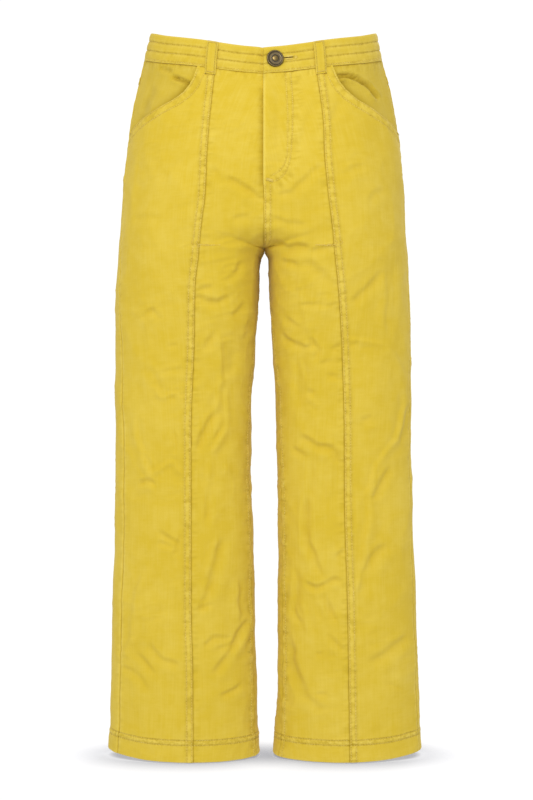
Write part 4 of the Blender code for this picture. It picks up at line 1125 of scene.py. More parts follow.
def front_outer(half):
    """The leg panel between the long front seam and the side seam, cut away at the pocket mouth."""
    places = columns(OUTER_WIDTH, FELLED + MOUTH_COLUMNS, TUCKED, COLUMN_STEP)
    start = half.seam("front", 80.0)
    width = half.seam("side", 80.0) + TUCK - start
    part = across_piece(0.0, width, places) / (width - TUCK)
    tops = mouth_drop(np.clip(part, 0, 1)) - np.where(part < POCKET_MOUTH["share"][0], UNDER_BAND, 0.0)
    drop = sheared_rows(tops, MOUTH_ROWS)
    length = across_piece(half.seam("front", drop), half.seam("side", drop) + TUCK, places)
    piece = cloth("leg_front_outer_" + half.name, front_outer_relief(half, drop, length), twill())
    flat, area = cut_of(half, "front", "side", BAND_DEPTH)
    take(piece, ["front_outer_" + half.name], flat)


# Folds of the hip piece inside each pocket mouth.
POCKET_FOLDS = table(
    CREASE_COLUMNS,
    *on_face(
        RIGHT,
        FRONT,
        (139, 42, 122, 46, 0, 4, -3.0), (120, 54, 86, 68, -1, 3.8, -5.0), (150, 70, 161, 106, 0, 8, -1.4),
        (161, 106, 171, 142, 0, 8, -1.4),
    ),
    *on_face(
        LEFT,
        FRONT,
        (90, 52, 104, 50, 0, 3.6, -6.5), (104, 50, 117, 54, 1, 3.6, -6.0), (117, 54, 131, 62, 1, 3.6, -5.0),
        (131, 62, 145, 75, 1, 3.6, -4.5), (145, 75, 154, 86, 0, 3.6, -3.2),
    ),
)
POCKET_SET_BACK = 2.1
POCKET_GAPE = 3.0
POCKET_BOTTOM_DROP = 214.0
POCKET_BOTTOM_CURVE = 46.0
POCKET_START = 0.09
POCKET_ROWS = 77
POCKET_WALL = 1.0


def pocket(half):
    """The hip piece seen in the pocket mouth, run down behind the panel as the pocket's back."""
    places = columns(POCKET_WIDTH, (0.0, 1.5), (0.0, 0.8, 1.8, 3.2), 2.2)
    part = POCKET_START + (1 - POCKET_START) * part_across(places, POCKET_WIDTH)
    bottoms = POCKET_BOTTOM_DROP - POCKET_BOTTOM_CURVE * ((part - 0.5) / 0.5) ** 2
    top = BAND_DEPTH - UNDER_BAND
    drop = top + (bottoms - top) * np.linspace(0, 1, POCKET_ROWS)[:, None]
    start = half.seam("front", drop)
    end = half.seam("side", drop) + 1.2
    length = start + (end - start) * part
    open_part = ease((drop - BAND_DEPTH) / 30) * ease((1 - part) / 0.25) * (1 - ease((drop - 140) / 40))
    relief = Relief(half, drop, length, -POCKET_SET_BACK - POCKET_GAPE * open_part, POCKET_WALL)
    seen = 1 - ease((drop - 150) / 20)
    girth = half.girth(drop, length)
    across, out = half.read(half.across, drop, girth), half.read(half.out, drop, girth)
    folds = 1.4 * half.creases(drop, across, out, POCKET_FOLDS) * ease((drop - BAND_DEPTH) / 12) * seen
    relief.stand += folds
    # Painted shade in the folds.
    relief.deep_dye_and_shade += np.clip(-folds, 0, 6) / 4
    above_mouth, _ = line_beside(mouth_line(half), drop, length)
    near_band = ease((drop - BAND_DEPTH) / 8) * (1 - ease((drop - 70) / 40))
    # Painted shadow along the panel's edge in the mouth, deepest below the band.
    relief.deep_dye_and_shade += 0.5 * bell(np.minimum(above_mouth + 1, 0), 4.0)
    low_end = ease((drop - 52) / 14)
    relief.deep_dye_and_shade += 1.5 * near_band * low_end * bell(np.minimum(above_mouth + 1, 0), 8.0)
    near_side = np.clip((part - 0.86) / 0.14, 0, 1)
    relief.stand += (POCKET_SET_BACK - 0.5) * near_side**2 * seen * ease((138 - drop) / 6)
    relief.plain(half.seam("side", drop) - length, seed=47, where=seen)
    relief.puckers(drop - BAND_DEPTH, length, seed=48, where=1 - ease((drop - 60) / 20), amount=0.8)
    piece = cloth("hip_pocket_" + half.name, relief, pocket_twill())
    width = (half.seam("side", 120.0) - half.seam("front", 120.0)) * (1 - POCKET_START)
    length = POCKET_BOTTOM_DROP - BAND_DEPTH
    take(piece, ["pocket_" + half.name], (width, length))


def yoke_drop(part):
    """The drop of the yoke's lower seam, from the side seam (0) to the centre back (1)."""
    return smooth(YOKE_SEAM["share"], YOKE_SEAM["drop"], part)


def seat_part(half, drop, length):
    """How far across the seat a point lies, from the side seam (0) to the centre back (1)."""
    start = half.seam("side", drop)
    return (length - start) / (half.seam("last", drop) - start)


def centre_back(relief, half, distance):
    """The centre back seam, felled to the wearer's left above the crotch."""
    above = 1 - ease((relief.drop - CROTCH_DROP + 4) / 4)
    if half.side == LEFT:
        relief.felled(distance, relief.drop, CENTRE_SEAM_SEED + 4, above)
    else:
        relief.under(distance, seed=52, where=above)
    # Painted shade along the seam towards the crotch.
    relief.deep_dye_and_shade += 0.9 * bell(distance, 5) * ease((relief.drop - 240) / 40) * above


def back_relief(half, drop, length):
    relief = Relief(half, drop, length)
    drop, length = relief.drop, relief.length
    relief.plain(length - half.seam("side", drop), seed=53 + half.side)
    last = half.seam("last", drop) - length
    centre_back(relief, half, last)
    relief.under(last, seed=55, where=ease((drop - CROTCH_DROP) / 10))
    relief.under(drop - yoke_drop(seat_part(half, drop, length)))
    relief.hem(21)
    return relief


def back_end(half, drop):
    """Where the back ends: at the centre back, and below the crotch a little under the front's inseam."""
    tuck = TUCK * ease((drop - CROTCH_DROP - 2) / 8)
    return half.seam("last", drop) - SEAM_GAP / 2 + tuck


def to_centre_back(half):
    """Sets the last column on the centre back seam above the crotch, the felled side over the other."""

    def fix(points, drops):
        above = drops[:, -1] < CROTCH_DROP - 1
        points[above, -1, 0] = half.side * CENTRE_LAPS[half.side]

    return fix


def back_places(half):
    return columns(BACK_WIDTH, PLAIN, FELLED if half.side == LEFT else TUCKED, COLUMN_STEP)


def back(half):
    """The back leg panel, from the yoke to the hem and from the side seam round to the inseam."""
    places = back_places(half)
    part = part_across(places, BACK_SPAN)
    tops = yoke_drop(np.clip(part, 0, 1)) - UNDER_BAND
    drop = sheared_rows(tops, EDGE_ROWS)
    length = across_piece(half.seam("side", drop) + SEAM_GAP / 2, back_end(half, drop), places)
    piece = cloth("leg_back_" + half.name, back_relief(half, drop, length), twill(), to_centre_back(half))
    flat, area = cut_of(half, "side", "last", YOKE_SEAM["drop"].mean())
    take(piece, ["back_" + half.name], flat)


def yoke_relief(half, drop, length):
    relief = Relief(half, drop, length)
    drop, length = relief.drop, relief.length
    relief.plain(length - half.seam("side", drop), seed=57)
    centre_back(relief, half, half.seam("last", drop) - length)
    relief.under(drop - BAND_DEPTH)
    relief.felled(yoke_drop(seat_part(half, drop, length)) - drop, length, seed=59 + half.side)
    return relief


def yoke(half):
    """The shaped piece between the waistband and the back leg panel, felled over it."""
    places = back_places(half)
    part = part_across(places, BACK_SPAN)
    bottoms = yoke_drop(np.clip(part, 0, 1))
    rows = columns(YOKE_DEPTH, EDGE_ROWS, FELLED, in_mm(sizes().mesh_step))
    drop = across_piece(BAND_DEPTH - UNDER_BAND, bottoms, upright(rows))
    length = across_piece(half.seam("side", drop) + SEAM_GAP / 2, back_end(half, drop), places)
    piece = cloth("yoke_piece_" + half.name, yoke_relief(half, drop, length), twill(), to_centre_back(half))
    width = half.seam("last", 60.0) - half.seam("side", 60.0)
    depth = YOKE_SEAM["drop"].max() - BAND_DEPTH
    take(piece, ["yoke_" + half.name], (width, depth))


# The waistband: two rows of stitches sink in between padded strips, and one runs just above its seam.
BAND_ROWS = (11.0, 23.0)
BAND_LOW_ROW = 34.6
BAND_STEPS = (0, 0.35, 0.8, 1.5, 2.6, 4.2, 6, 8, 9.4, 10, 10.5, 11, 11.5, 12, 12.7, 14, 16, 18, 20)
BAND_STEPS += (21.4, 22, 22.5, 23, 23.5, 24, 24.7, 26, 28, 30, 32, 33.2, 33.9, 34.6, 35.3, 36, 36.5, 36.85)
UNDERLAP_ACROSS = 40.0


def band_name(half):
    return "band_" + half.name


def band_relief(half, drop, length):
    relief = Relief(half, drop, length, BAND_STANDS_OUT, BAND_WALL)
    drop, length = relief.drop, relief.length
    if half.side == LEFT:
        past = (length - UNDERLAP_ACROSS - 2) / 22
        relief.stand += LAP_STANDS_OUT * (1 - ease(past))
    for row, seed in zip(BAND_ROWS, (61, 62)):
        relief.stitches(drop - row, 0.9)
        # Painted shade in each row's groove; the tucks beside it are paler on their crests, as wear and
        # painted highlight, and take painted shade in their hollows.
        relief.deep_dye_and_shade += 0.3 * bell(drop - row, 1.1)
        tucks = noise(length / 5.5, drop / 9, 0.0, seed) * bell(drop - row, 5)
        relief.stand += 0.4 * tucks * sizes().puckers
        relief.worn += 0.35 * np.clip(tucks, 0, 1) + 0.3 * bell(np.abs(drop - row) - 2.4, 1.2)
        relief.deep_dye_and_shade += 0.45 * np.clip(-tucks, 0, 1)
    relief.stand += 0.6 * (bell(drop - 5.5, 3.4) + bell(drop - 17, 3.6) + bell(drop - 28.5, 3.4))
    relief.stitches(drop - BAND_LOW_ROW, 0.45)
    relief.puckers(BAND_DEPTH - drop, length, seed=63 + half.side, where=ease((drop - 26) / 8), amount=0.6)
    relief.worn += 0.6 * bell(drop - 36.3, 0.9) + 0.7 * bell(drop - 0.6, 1.2)
    top_nose = 1 - ease(drop / 1.6)
    low_nose = 1 - ease((BAND_DEPTH - drop) / 1.0)
    relief.stand -= 0.8 * top_nose + 0.35 * low_nose
    relief.wall -= 1.5 * top_nose + 0.7 * low_nose
    lap_end = 1 - ease((length + 1.0) / 2.4) if half.side == LEFT else 0.0
    relief.stand -= 0.5 * lap_end
    relief.wall -= 0.9 * lap_end
    relief.plain(half.seam("last", drop) - length, seed=65)
    return relief


def band_left():
    """The band's left half, with the lapped end and its buttonhole."""
    half = SURFACE[LEFT]
    drop = np.array(BAND_STEPS)[:, None]
    places = columns(BAND_WIDTH, PLAIN, PLAIN, COLUMN_STEP)
    length = across_piece(0.1, half.seam("last", drop) - 0.1, places)

    def to_centre(points, _drops):
        points[:, 0, 0] = BAND_END
        points[:, -1, 0] = 0.0

    piece = cloth(band_name(half), band_relief(half, drop, length), band_twill(), to_centre)
    cut_buttonhole(piece)
    take(piece, ["waistband_left"], (half.seam("last", 20.0), BAND_DEPTH))


def band_right():
    """The band's right half, which steps in at the centre front and runs under the lapped end."""
    right, left = SURFACE[RIGHT], SURFACE[LEFT]
    drop = np.array(BAND_STEPS)[:, None]
    places = columns(BAND_WIDTH, PLAIN, PLAIN, COLUMN_STEP)
    length = across_piece(2.0, right.seam("last", drop) - 0.1, places)[:, ::-1]
    relief = band_relief(right, drop, length)
    under = LAP_STANDS_OUT + BAND_STANDS_OUT - BAND_WALL - SEAM_GAP
    step_in = 1 - ease((relief.length - 2.5) / 6)
    relief.stand += (under - BAND_STANDS_OUT) * step_in
    grids = [list(right.place(relief.drop, relief.length, relief.stand, masks=True))]
    grids[0].append(relief)
    under_across = np.array([2.5, 10.0, 20.0, 30.0, UNDERLAP_ACROSS, UNDERLAP_ACROSS + 0.8])
    under_length = np.broadcast_to(under_across, (len(drop), len(under_across)))
    below = Relief(left, drop, under_length, under, BAND_WALL)
    below.wall[:, -1] = 1.2
    below.stand[:, -1] -= 0.7
    grids.append([*left.place(below.drop, below.length, below.stand, masks=True), below])
    outer = np.concatenate([points for points, _, _ in grids], axis=1)
    outer[:, 0, 0] = 0.0
    inner_grids = [r.half.place(r.drop, r.length, r.stand - r.wall) for _, _, r in grids]
    inner = np.concatenate(inner_grids, axis=1)[::2, ::2]
    inner[:, 0, 0] = 0.0
    marks = [marks_of(r, moved) for _, moved, r in grids]
    marks = {key: np.concatenate([m[key] for m in marks], axis=1) for key in marks[0]}
    if outer.shape[1] % 2 == 0:
        raise ValueError("the band's right half needs an odd number of columns")
    piece = shell(band_name(right), outer, inner, band_twill(), marks)
    around = right.seam("last", 20.0) + UNDERLAP_ACROSS
    take(piece, ["waistband_right"], (around, BAND_DEPTH))


UNDERLAP_COLUMNS = (-24.0, -19.0, -14.0, -9.5, -5.0, -2.0, 2.0, 5.0, 9.5, 14.0, 19.0, 24.0, 29.0)
UNDERLAP_COLUMNS += (35.0, 41.0)
UNDERLAP_WALL = 1.6
SHIELD_LENGTH = FLY_LENGTH - 6
SHIELD_ROWS = 61
FLY_SET_BACK = 0.8
FLY_FOOT_CURVE = 14.0


def fly_underlap():
    """The doubled strip behind the lapped front edge, from the waistband's seam to the foot of the fly."""
    drop_row = np.linspace(BAND_DEPTH + 2 * SEAM_GAP, BAND_DEPTH + SHIELD_LENGTH, SHIELD_ROWS)
    set_back = -in_mm(sizes().cloth) - FLY_SET_BACK
    outer, inner, cuts = [], [], []
    for across in UNDERLAP_COLUMNS:
        half = SURFACE[LEFT if across > 0 else RIGHT]
        wide = (abs(across) / UNDERLAP_COLUMNS[-1]) ** 2
        foot = drop_row - ease((drop_row - 150) / 60) * wide * FLY_FOOT_CURVE
        length = half.length_across(foot, abs(across))
        outer.append(half.place(foot, length, set_back))
        inner.append(half.place(foot, length, set_back - UNDERLAP_WALL))
        cuts.append(on_cut(across, foot))
    outer, inner, cuts = (np.stack(grid, axis=1) for grid in (outer, inner, cuts))
    plain = np.zeros(outer.shape[:2])
    # A little deeper colour all over, as painted shade behind the lapped edge.
    marks = {"cut": cuts, "worn": plain, "deep_dye_and_shade": plain + 0.15}
    piece = shell("fly_shield", outer, inner[::2, ::2], twill(), marks)
    width = UNDERLAP_COLUMNS[-1] - UNDERLAP_COLUMNS[0]
    take(piece, ["fly_underlap"], (width, SHIELD_LENGTH))


# Thread: a stitch is a short spindle, drawn a little thicker than the real 0.4 mm so that it shows.
THREAD_SIDES = 5
THREAD_RINGS = ((0.16, 0.8), (0.5, 1.0), (0.84, 0.8))
STITCH_SHARE = 0.8
TACK_ABOVE = 0.45
TACK_STEP = 0.7
TACK_STEP_LOOPS = 0.75
# Widths of the finer threads, and how closely the lines that stitches follow are drawn.
SUNK_WIDTH = 0.6
LOOP_ROW_WIDTH = 0.7
TACK_WIDTH = 0.8
SATIN_WIDTH = 0.75
SEAM_POINTS = 240
ROUND_POINTS = 160
BAND_POINTS = 300


def threads(name, starts, ends, facings, finish, slot, width=None, dip=0.25):
    """Many short strands joined in one mesh, each lying on the cloth from a start to an end."""
    width = in_mm(sizes().thread) if width is None else width
    starts, ends, facings = (np.concatenate(group) for group in (starts, ends, facings))
    ahead = ends - starts
    beside = np.cross(facings, ahead)
    beside /= np.linalg.norm(beside, axis=1)[:, None]
    points = [starts - facings * dip]
    for part, full in THREAD_RINGS:
        middle = starts + ahead * part + facings * dip * 0.4
        for i in range(THREAD_SIDES):
            angle = 2 * math.pi * i / THREAD_SIDES
            spoke = beside * math.cos(angle) + facings * math.sin(angle)
            points.append(middle + spoke * full * width / 2)
    points.append(ends - facings * dip)
    points = np.stack(points, axis=1)
    count, each = points.shape[:2]
    one = turned_faces(THREAD_SIDES, len(THREAD_RINGS))
    faces = [[n * each + corner for corner in face] for n in range(count) for face in one]
    take(add_mesh(name, points.reshape(-1, 3), faces, finish), ())


def laid(half, start, end):
    """Strands between two sets of drops, lengths and heights: their starts, ends and facings."""
    drop, length, stand = start
    starts = half.place(drop, length, stand)
    return starts, half.place(*end), half.place(drop, length, stand + 1.0) - starts


def sewn(half, relief_of, line, above=0.12):
    """The stitches along a line on a piece, given as lengths and drops: their starts, ends and facings."""
    line = np.asarray(line, float)
    run = run_of(line)
    pitch = in_mm(sizes().stitch)
    first = np.arange(0.1 * pitch, run[-1] - STITCH_SHARE * pitch, pitch)
    ends = []
    for at in (first, first + STITCH_SHARE * pitch):
        length, drop = (np.interp(at, run, line[:, i]) for i in (0, 1))
        ends.append((drop, length, relief_of(half, drop, length).stand + above))
    return laid(half, *ends)


def gather(rows):
    """Several rows of stitches as three lists."""
    return [list(group) for group in zip(*rows)]


def down_seam(half, name, aside, top, bottom):
    """A line beside a seam, from one drop to another."""
    drop = np.linspace(top, bottom, SEAM_POINTS)
    return np.stack([half.seam(name, drop) + aside, drop], axis=1)


def round_piece(half, first, last, drop):
    """A level line round a piece, from one seam to the next."""
    length = np.linspace(half.seam(first, drop) + 0.6, half.seam(last, drop) - 0.6, ROUND_POINTS)
    return np.stack([length, np.full(ROUND_POINTS, float(drop))], axis=1)


def seam_rows():
    """Where a felled seam's two rows lie, from its edge."""
    return ROW_FROM_SEAM, in_mm(sizes().seam_width) - ROW_FROM_BAND


def front_stitching():
    rows = []
    for half in SURFACE.values():
        for aside in seam_rows():
            rows.append(sewn(half, front_outer_relief, down_seam(half, "front", aside, 38.5, HEM_DROP - 1)))
        for aside in (ROW_FROM_SEAM, MOUTH_ROW):
            line = moved_line(mouth_line(half), aside)
            inside = line[:, 0] < half.seam("side", line[:, 1]) - 0.5
            rows.append(sewn(half, front_outer_relief, line[inside & (line[:, 1] > BAND_DEPTH + 1)]))
        inseam = down_seam(half, "inner", INSEAM_ROW, CROTCH_DROP + 2, HEM_DROP - 1)
        rows.append(sewn(half, front_inner_relief, inseam))
    left = SURFACE[LEFT]
    for line in (FLY_OUTER_ROW, FLY_INNER_ROW):
        rows.append(sewn(left, front_inner_relief, on_cloth(left, line)))
    for aside in seam_rows():
        rows.append(sewn(left, front_inner_relief, down_seam(left, "inner", aside, 214, 284)))
    threads("topstitching_front", *gather(rows), thread(), "twill")


def back_stitching():
    rows = []
    left = SURFACE[LEFT]
    for half in SURFACE.values():
        for above in seam_rows():
            part = np.linspace(0.004, 0.997, ROUND_POINTS)
            drop = yoke_drop(part)
            start = half.seam("side", drop)
            length = start + part * (half.seam("last", drop) - start)
            rows.append(sewn(half, yoke_relief, np.stack([length, drop - above], axis=1)))
    for aside in seam_rows():
        rows.append(sewn(left, yoke_relief, down_seam(left, "last", -aside, 38.5, 98.5)))
        rows.append(sewn(left, back_relief, down_seam(left, "last", -aside, 101.5, 282)))
    threads("topstitching_back", *gather(rows), thread(), "twill")


def hem_stitching():
    turn = in_mm(sizes().hem_turn)
    pieces = (("inner", "front", front_inner_relief), ("front", "side", front_outer_relief))
    pieces += (("side", "last", back_relief),)
    rows = []
    for half in SURFACE.values():
        for first, last, relief_of in pieces:
            for up in (turn - 0.6, turn - HEM_ROWS_APART):
                rows.append(sewn(half, relief_of, round_piece(half, first, last, HEM_DROP - up), -0.02))
    threads("topstitching_hems", *gather(rows), sunk_thread(), "twill")


def band_stitching():
    low, high = [], []
    for half in SURFACE.values():
        for drop in (BAND_LOW_ROW, *BAND_ROWS):
            start = 0.5 if half.side == LEFT else 4.0
            length = np.linspace(start, half.seam("last", drop) - 1, BAND_POINTS)
            line = np.stack([length, np.full(BAND_POINTS, drop)], axis=1)
            if drop == BAND_LOW_ROW:
                low.append(sewn(half, band_relief, line))
            else:
                high.append(sewn(half, band_relief, line, -0.1))
    threads("topstitching_band_low", *gather(low), thread(), "band_twill")
    threads("topstitching_band_high", *gather(high), sunk_thread(), "band_twill", SUNK_WIDTH)


# Places across a belt loop, and how its face swells between its two stitched edges.
LOOP_ASIDES = (-7.0, -6.9, -6.5, -5.9, -5.3, -4.7, -3.9, -2.6, 0.0, 2.6, 3.9, 4.7, 5.3, 5.9, 6.5, 6.9, 7.0)
LOOP_ROW_ASIDE = 5.2
LOOP_STITCH = 2.8
LOOP_BAR = 2.2
LOOP_ROWS = 45


def loop_column(kind, half, aside):
    """Which half a loop's column lies on, and its length there at each drop."""
    if kind == "front":
        across, lean = FRONT_LOOPS[half.side]
        return half, lambda drop: half.length_across(drop, across + aside + lean * drop / LOOP_LENGTH)
    if kind == "back":
        past = (BACK_LOOP_ACROSS - aside) / half.back(20.0)
        return half, lambda drop: half.front(drop) + half.back(drop) * (1 - past)
    side = LEFT if aside >= 0 else RIGHT
    own = SURFACE[side]
    return own, lambda drop: own.front(drop) + own.back(drop) - abs(aside)


def loop_stand(drop, aside):
    """How far a loop's inner face stands off the garment here, and its thickness."""
    stand = smooth(LOOP_PROFILE["drop"], LOOP_PROFILE["stands_out"], drop)
    swell = 0.45 * bell(abs(aside) - 3.9, 1.3) - 0.35 * bell(abs(aside) - LOOP_ROW_ASIDE, 0.7)
    nose = 1.0 * ease((abs(aside) - 6.1) / 0.9)
    uneven = 0.25 * noise(drop / 4.5, aside / 6, 0.0, 71)
    return stand, LOOP_WALL + swell - nose + uneven * (1 - nose)


def belt_loop(name, node_name, kind, half):
    """A folded strip that stands off the waistband, stitched down both edges and barred at its foot."""
    drop = np.linspace(LOOP_PROFILE["drop"][0], LOOP_LENGTH, LOOP_ROWS)
    outer, inner, cuts, worn = [], [], [], []
    for aside in LOOP_ASIDES:
        own, length_of = loop_column(kind, half, aside)
        length = length_of(drop)
        stand, thick = loop_stand(drop, aside)
        outer.append(own.place(drop, length, stand + thick))
        inner.append(own.place(drop, length, stand + 0.25 * ease((abs(aside) - 6) / 1)))
        cuts.append(on_cut(aside, drop))
        # Paler along the folded edges, as wear, and on the swell between edge and row, as painted
        # highlight.
        pale = 0.75 * bell(abs(aside) - 6.3, 0.9) + 0.3 * bell(abs(aside) - 3.9, 1.2)
        worn.append(np.clip(pale + 0.3 * noise(drop / 3.0, aside / 5, 0.0, 72) * (pale > 0.2), 0, 1))
    outer, inner, cuts, worn = (np.stack(grid, axis=1) for grid in (outer, inner, cuts, worn))
    # Painted shade along the two stitched rows.
    deep_dye_and_shade = np.broadcast_to(0.5 * bell(np.abs(np.array(LOOP_ASIDES)) - LOOP_ROW_ASIDE, 0.8), worn.shape)
    marks = {"cut": cuts, "worn": worn, "deep_dye_and_shade": deep_dye_and_shade.copy(), "stitched": deep_dye_and_shade * 1.6}
    piece = shell(name, outer, inner[::2, ::2], band_twill(), marks)
    take(piece, [node_name], (LOOP_WIDTH, LOOP_LENGTH + 3))
    rows, bars = [], []
    stitched = np.arange(2.0, LOOP_LENGTH - 4, in_mm(sizes().stitch))
    for aside in (-LOOP_ROW_ASIDE, LOOP_ROW_ASIDE):
        rows.append(loop_threads(kind, half, aside, stitched, LOOP_STITCH))
    barred = np.array([LOOP_LENGTH - 4.2, 1.4])
    for aside in np.arange(-5.8, 5.9, TACK_STEP_LOOPS):
        bars.append(loop_threads(kind, half, aside, barred, LOOP_BAR, 0.3))
    return rows, bars


def loop_threads(kind, half, aside, starts, reach, above=0.1):
    """Strands that run down a belt loop from these drops."""
    own, length_of = loop_column(kind, half, aside)
    ends = []
    for drop in (starts, starts + reach):
        stand, thick = loop_stand(drop, aside)
        ends.append((drop, length_of(drop), stand + thick + above))
    return laid(own, *ends)


def belt_loops():
    rows, bars = [], []
    for half in SURFACE.values():
        for kind in ("front", "back"):
            made = belt_loop(f"belt_loop_{kind}_{half.name}", f"loop_{kind}_{half.name}", kind, half)
            rows += made[0]
            bars += made[1]
    made = belt_loop("belt_loop_centre", "loop_centre_back", "centre", SURFACE[LEFT])
    threads("topstitching_loops", *gather(rows + made[0]), sunk_thread(), "band_twill", LOOP_ROW_WIDTH)
    threads("bar_tacks_loops", *gather(bars + made[1]), thread(), "band_twill", TACK_WIDTH)


def bar_tacks():
    """Close strands where the fly's stitching ends and at both ends of each pocket mouth."""
    rows = []
    left = SURFACE[LEFT]
    for across in np.arange(2.2, 11.0, TACK_STEP):
        rows.append(tack(left, front_inner_relief, across, 204.4 + 0.25 * across, 4.6))
    for half in SURFACE.values():
        line = mouth_line(half)
        for length in np.arange(line[-1, 0] - 9.5, line[-1, 0] - 2.0, TACK_STEP):
            drop = np.interp(length, line[:, 0], line[:, 1])
            rows.append(tack(half, front_outer_relief, length, drop + 0.6, 2.4))
    threads("bar_tacks", *gather(rows), thread(), "twill", TACK_WIDTH)


def tack(half, relief_of, length, drop, reach):
    """One strand of a bar tack, lying over the cloth's stitches."""
    ends = []
    for at in (drop, drop + reach):
        place = (np.array([at]), np.array([length]))
        ends.append((*place, relief_of(half, *place).stand + TACK_ABOVE))
    return laid(half, *ends)


def button_frame():
    """The garment surface's point under the button, and its directions across, up and out."""
    half = SURFACE[LEFT]
    drop = np.array([BUTTON_DROP])
    length = half.length_across(drop, BUTTON_ACROSS)
    here = half.place(drop, length)[0]
    out = half.place(drop, length, 1.0)[0] - here
    beside = half.place(drop, half.length_across(drop, BUTTON_ACROSS + 8))[0] - here
    across = beside - out * np.dot(beside, out)
    across /= np.linalg.norm(across)
    return here, across, np.cross(out, across), out


KEYHOLE_EYE_RADIUS = 3.1
KEYHOLE_SLOT_WIDTH = 2.2
KEYHOLE_LENGTH = 24.0


def keyhole(grow=0.0, steps=14):
    """The buttonhole's outline: round at the button's post, with a slot away from the opening's edge."""
    half_slot = KEYHOLE_SLOT_WIDTH / 2 + grow
    radius = KEYHOLE_EYE_RADIUS + grow
    opening = math.asin(half_slot / radius)
    turn = np.linspace(opening, 2 * math.pi - opening, steps)
    round_end = [(radius * math.cos(angle), radius * math.sin(angle)) for angle in turn]
    return round_end + [(KEYHOLE_LENGTH + grow, -half_slot), (KEYHOLE_LENGTH + grow, half_slot)]


def cut_buttonhole(piece):
    """Cuts the keyhole through the lapped band."""
    here, across, up, out = button_frame()
    outline = keyhole()
    points = np.array([here + across * x + up * y + out * z for z in (-7.0, 9.0) for x, y in outline])
    count = len(outline)
    faces = [list(range(count)), list(range(2 * count - 1, count - 1, -1))]
    faces += [[i, count + i, count + (i + 1) % count, (i + 1) % count] for i in range(count)]
    cutter = add_mesh("keyhole_cutter", points, faces, band_twill())
    hole = piece.modifiers.new("buttonhole", "BOOLEAN")
    hole.operation = "DIFFERENCE"
    hole.object = cutter
    bpy.context.view_layer.update()
    shaped = piece.evaluated_get(bpy.context.evaluated_depsgraph_get())
    mesh = bpy.data.meshes.new_from_object(shaped)
    piece.modifiers.clear()
    piece.data = mesh
    mesh.shade_smooth()
    bpy.data.objects.remove(cutter, do_unlink=True)


def buttonhole():
    """Satin stitches round the keyhole, and a bar at its end."""
    here, across, up, out = button_frame()
    edge = np.array(keyhole(-0.75, 40) + [keyhole(-0.75, 40)[0]])
    run = run_of(edge)
    at = np.arange(0.3, run[-1], 0.62)
    spot = np.stack([np.interp(at, run, edge[:, i]) for i in (0, 1)], axis=1)
    slot = spot[:, 0] > KEYHOLE_EYE_RADIUS - 1
    away = np.where(slot[:, None], np.stack([0 * at, np.sign(spot[:, 1])], axis=1), spot)
    at_end = spot[:, 0] > KEYHOLE_LENGTH - 0.1
    away[at_end] = spot[at_end] - np.array([KEYHOLE_LENGTH - 2.0, 0])
    away /= np.linalg.norm(away, axis=1)[:, None] + 1e-9
    spot_end = spot + away * 3.0
    bar = np.arange(-2.6, 2.7, 0.6)
    starts = np.concatenate([spot, np.stack([0 * bar + KEYHOLE_LENGTH + 1.2, bar], axis=1)])
    ends = np.concatenate([spot_end, np.stack([0 * bar + KEYHOLE_LENGTH + 5.6, bar * 0.5], axis=1)])
    half = SURFACE[LEFT]

    def on_band(plane):
        flat = here + plane[:, :1] * across + plane[:, 1:] * up
        level_with = np.full(len(flat), BUTTON_DROP)
        length = half.length_across(level_with, np.abs(flat[:, 0]))
        drop = BUTTON_DROP + half.place(level_with, length)[:, 2] - flat[:, 2]
        length = half.length_across(drop, np.abs(flat[:, 0]))
        stand = band_relief(half, drop, length).stand + 0.25
        return half.place(drop, length, stand)

    facings = np.broadcast_to(out, (len(starts), 3))
    strands = [on_band(starts)], [on_band(ends)], [facings]
    threads("buttonhole_stitching", *strands, thread(), "band_twill", SATIN_WIDTH)


# The button as turned: radius, height above its back, and how far its plate is rubbed to brass.
BUTTON_TURNING = table(
    "radius height rubbed",
    (0.0, -3.1, 0.0), (2.3, -3.1, 0.0), (2.3, 0.2, 0.0), (9.6, 0.1, 0.0), (10.6, 0.35, 0.0),
    (11.1, 0.9, 0.1), (11.2, 1.5, 0.3), (11.0, 2.2, 0.6), (10.5, 2.75, 0.75), (9.9, 2.9, 0.7),
    (9.3, 2.75, 0.4), (8.8, 2.25, 0.1), (8.2, 1.95, 0.3), (7.2, 1.85, 0.5), (6.0, 1.9, 0.5),
    (5.2, 1.95, 0.25), (4.7, 1.9, 0.0), (4.4, 2.1, 0.2), (4.0, 2.55, 0.7), (3.2, 2.9, 1.0), (2.0, 3.1, 1.0),
    (0.9, 3.15, 0.95), (0.0, 3.15, 0.9),
)
BUTTON_SIDES = 72


def button():
    """A plain shank button: a post through the buttonhole, a rolled rim, a dished ring and a small boss."""
    here, across, up, out = button_frame()
    back_of_cap = LAP_STANDS_OUT + BAND_STANDS_OUT + 0.5
    turn = 2 * math.pi * np.arange(BUTTON_SIDES) / BUTTON_SIDES
    spokes = np.outer(np.cos(turn), across) + np.outer(np.sin(turn), up)
    points, rubbed = [], []
    for radius, height, rub in zip(*BUTTON_TURNING.values()):
        ring = here + spokes * radius + out * (back_of_cap + height)
        points.append(ring if radius else ring[:1])
        rubbed += [rub] * len(points[-1])
    faces = turned_faces(BUTTON_SIDES, len(BUTTON_TURNING["radius"]) - 2)
    marks = {"worn": np.array(rubbed)}
    piece = add_mesh("shank_button", np.concatenate(points), faces, antique_metal(), marks)
    take(piece, ["button"])


# Materials


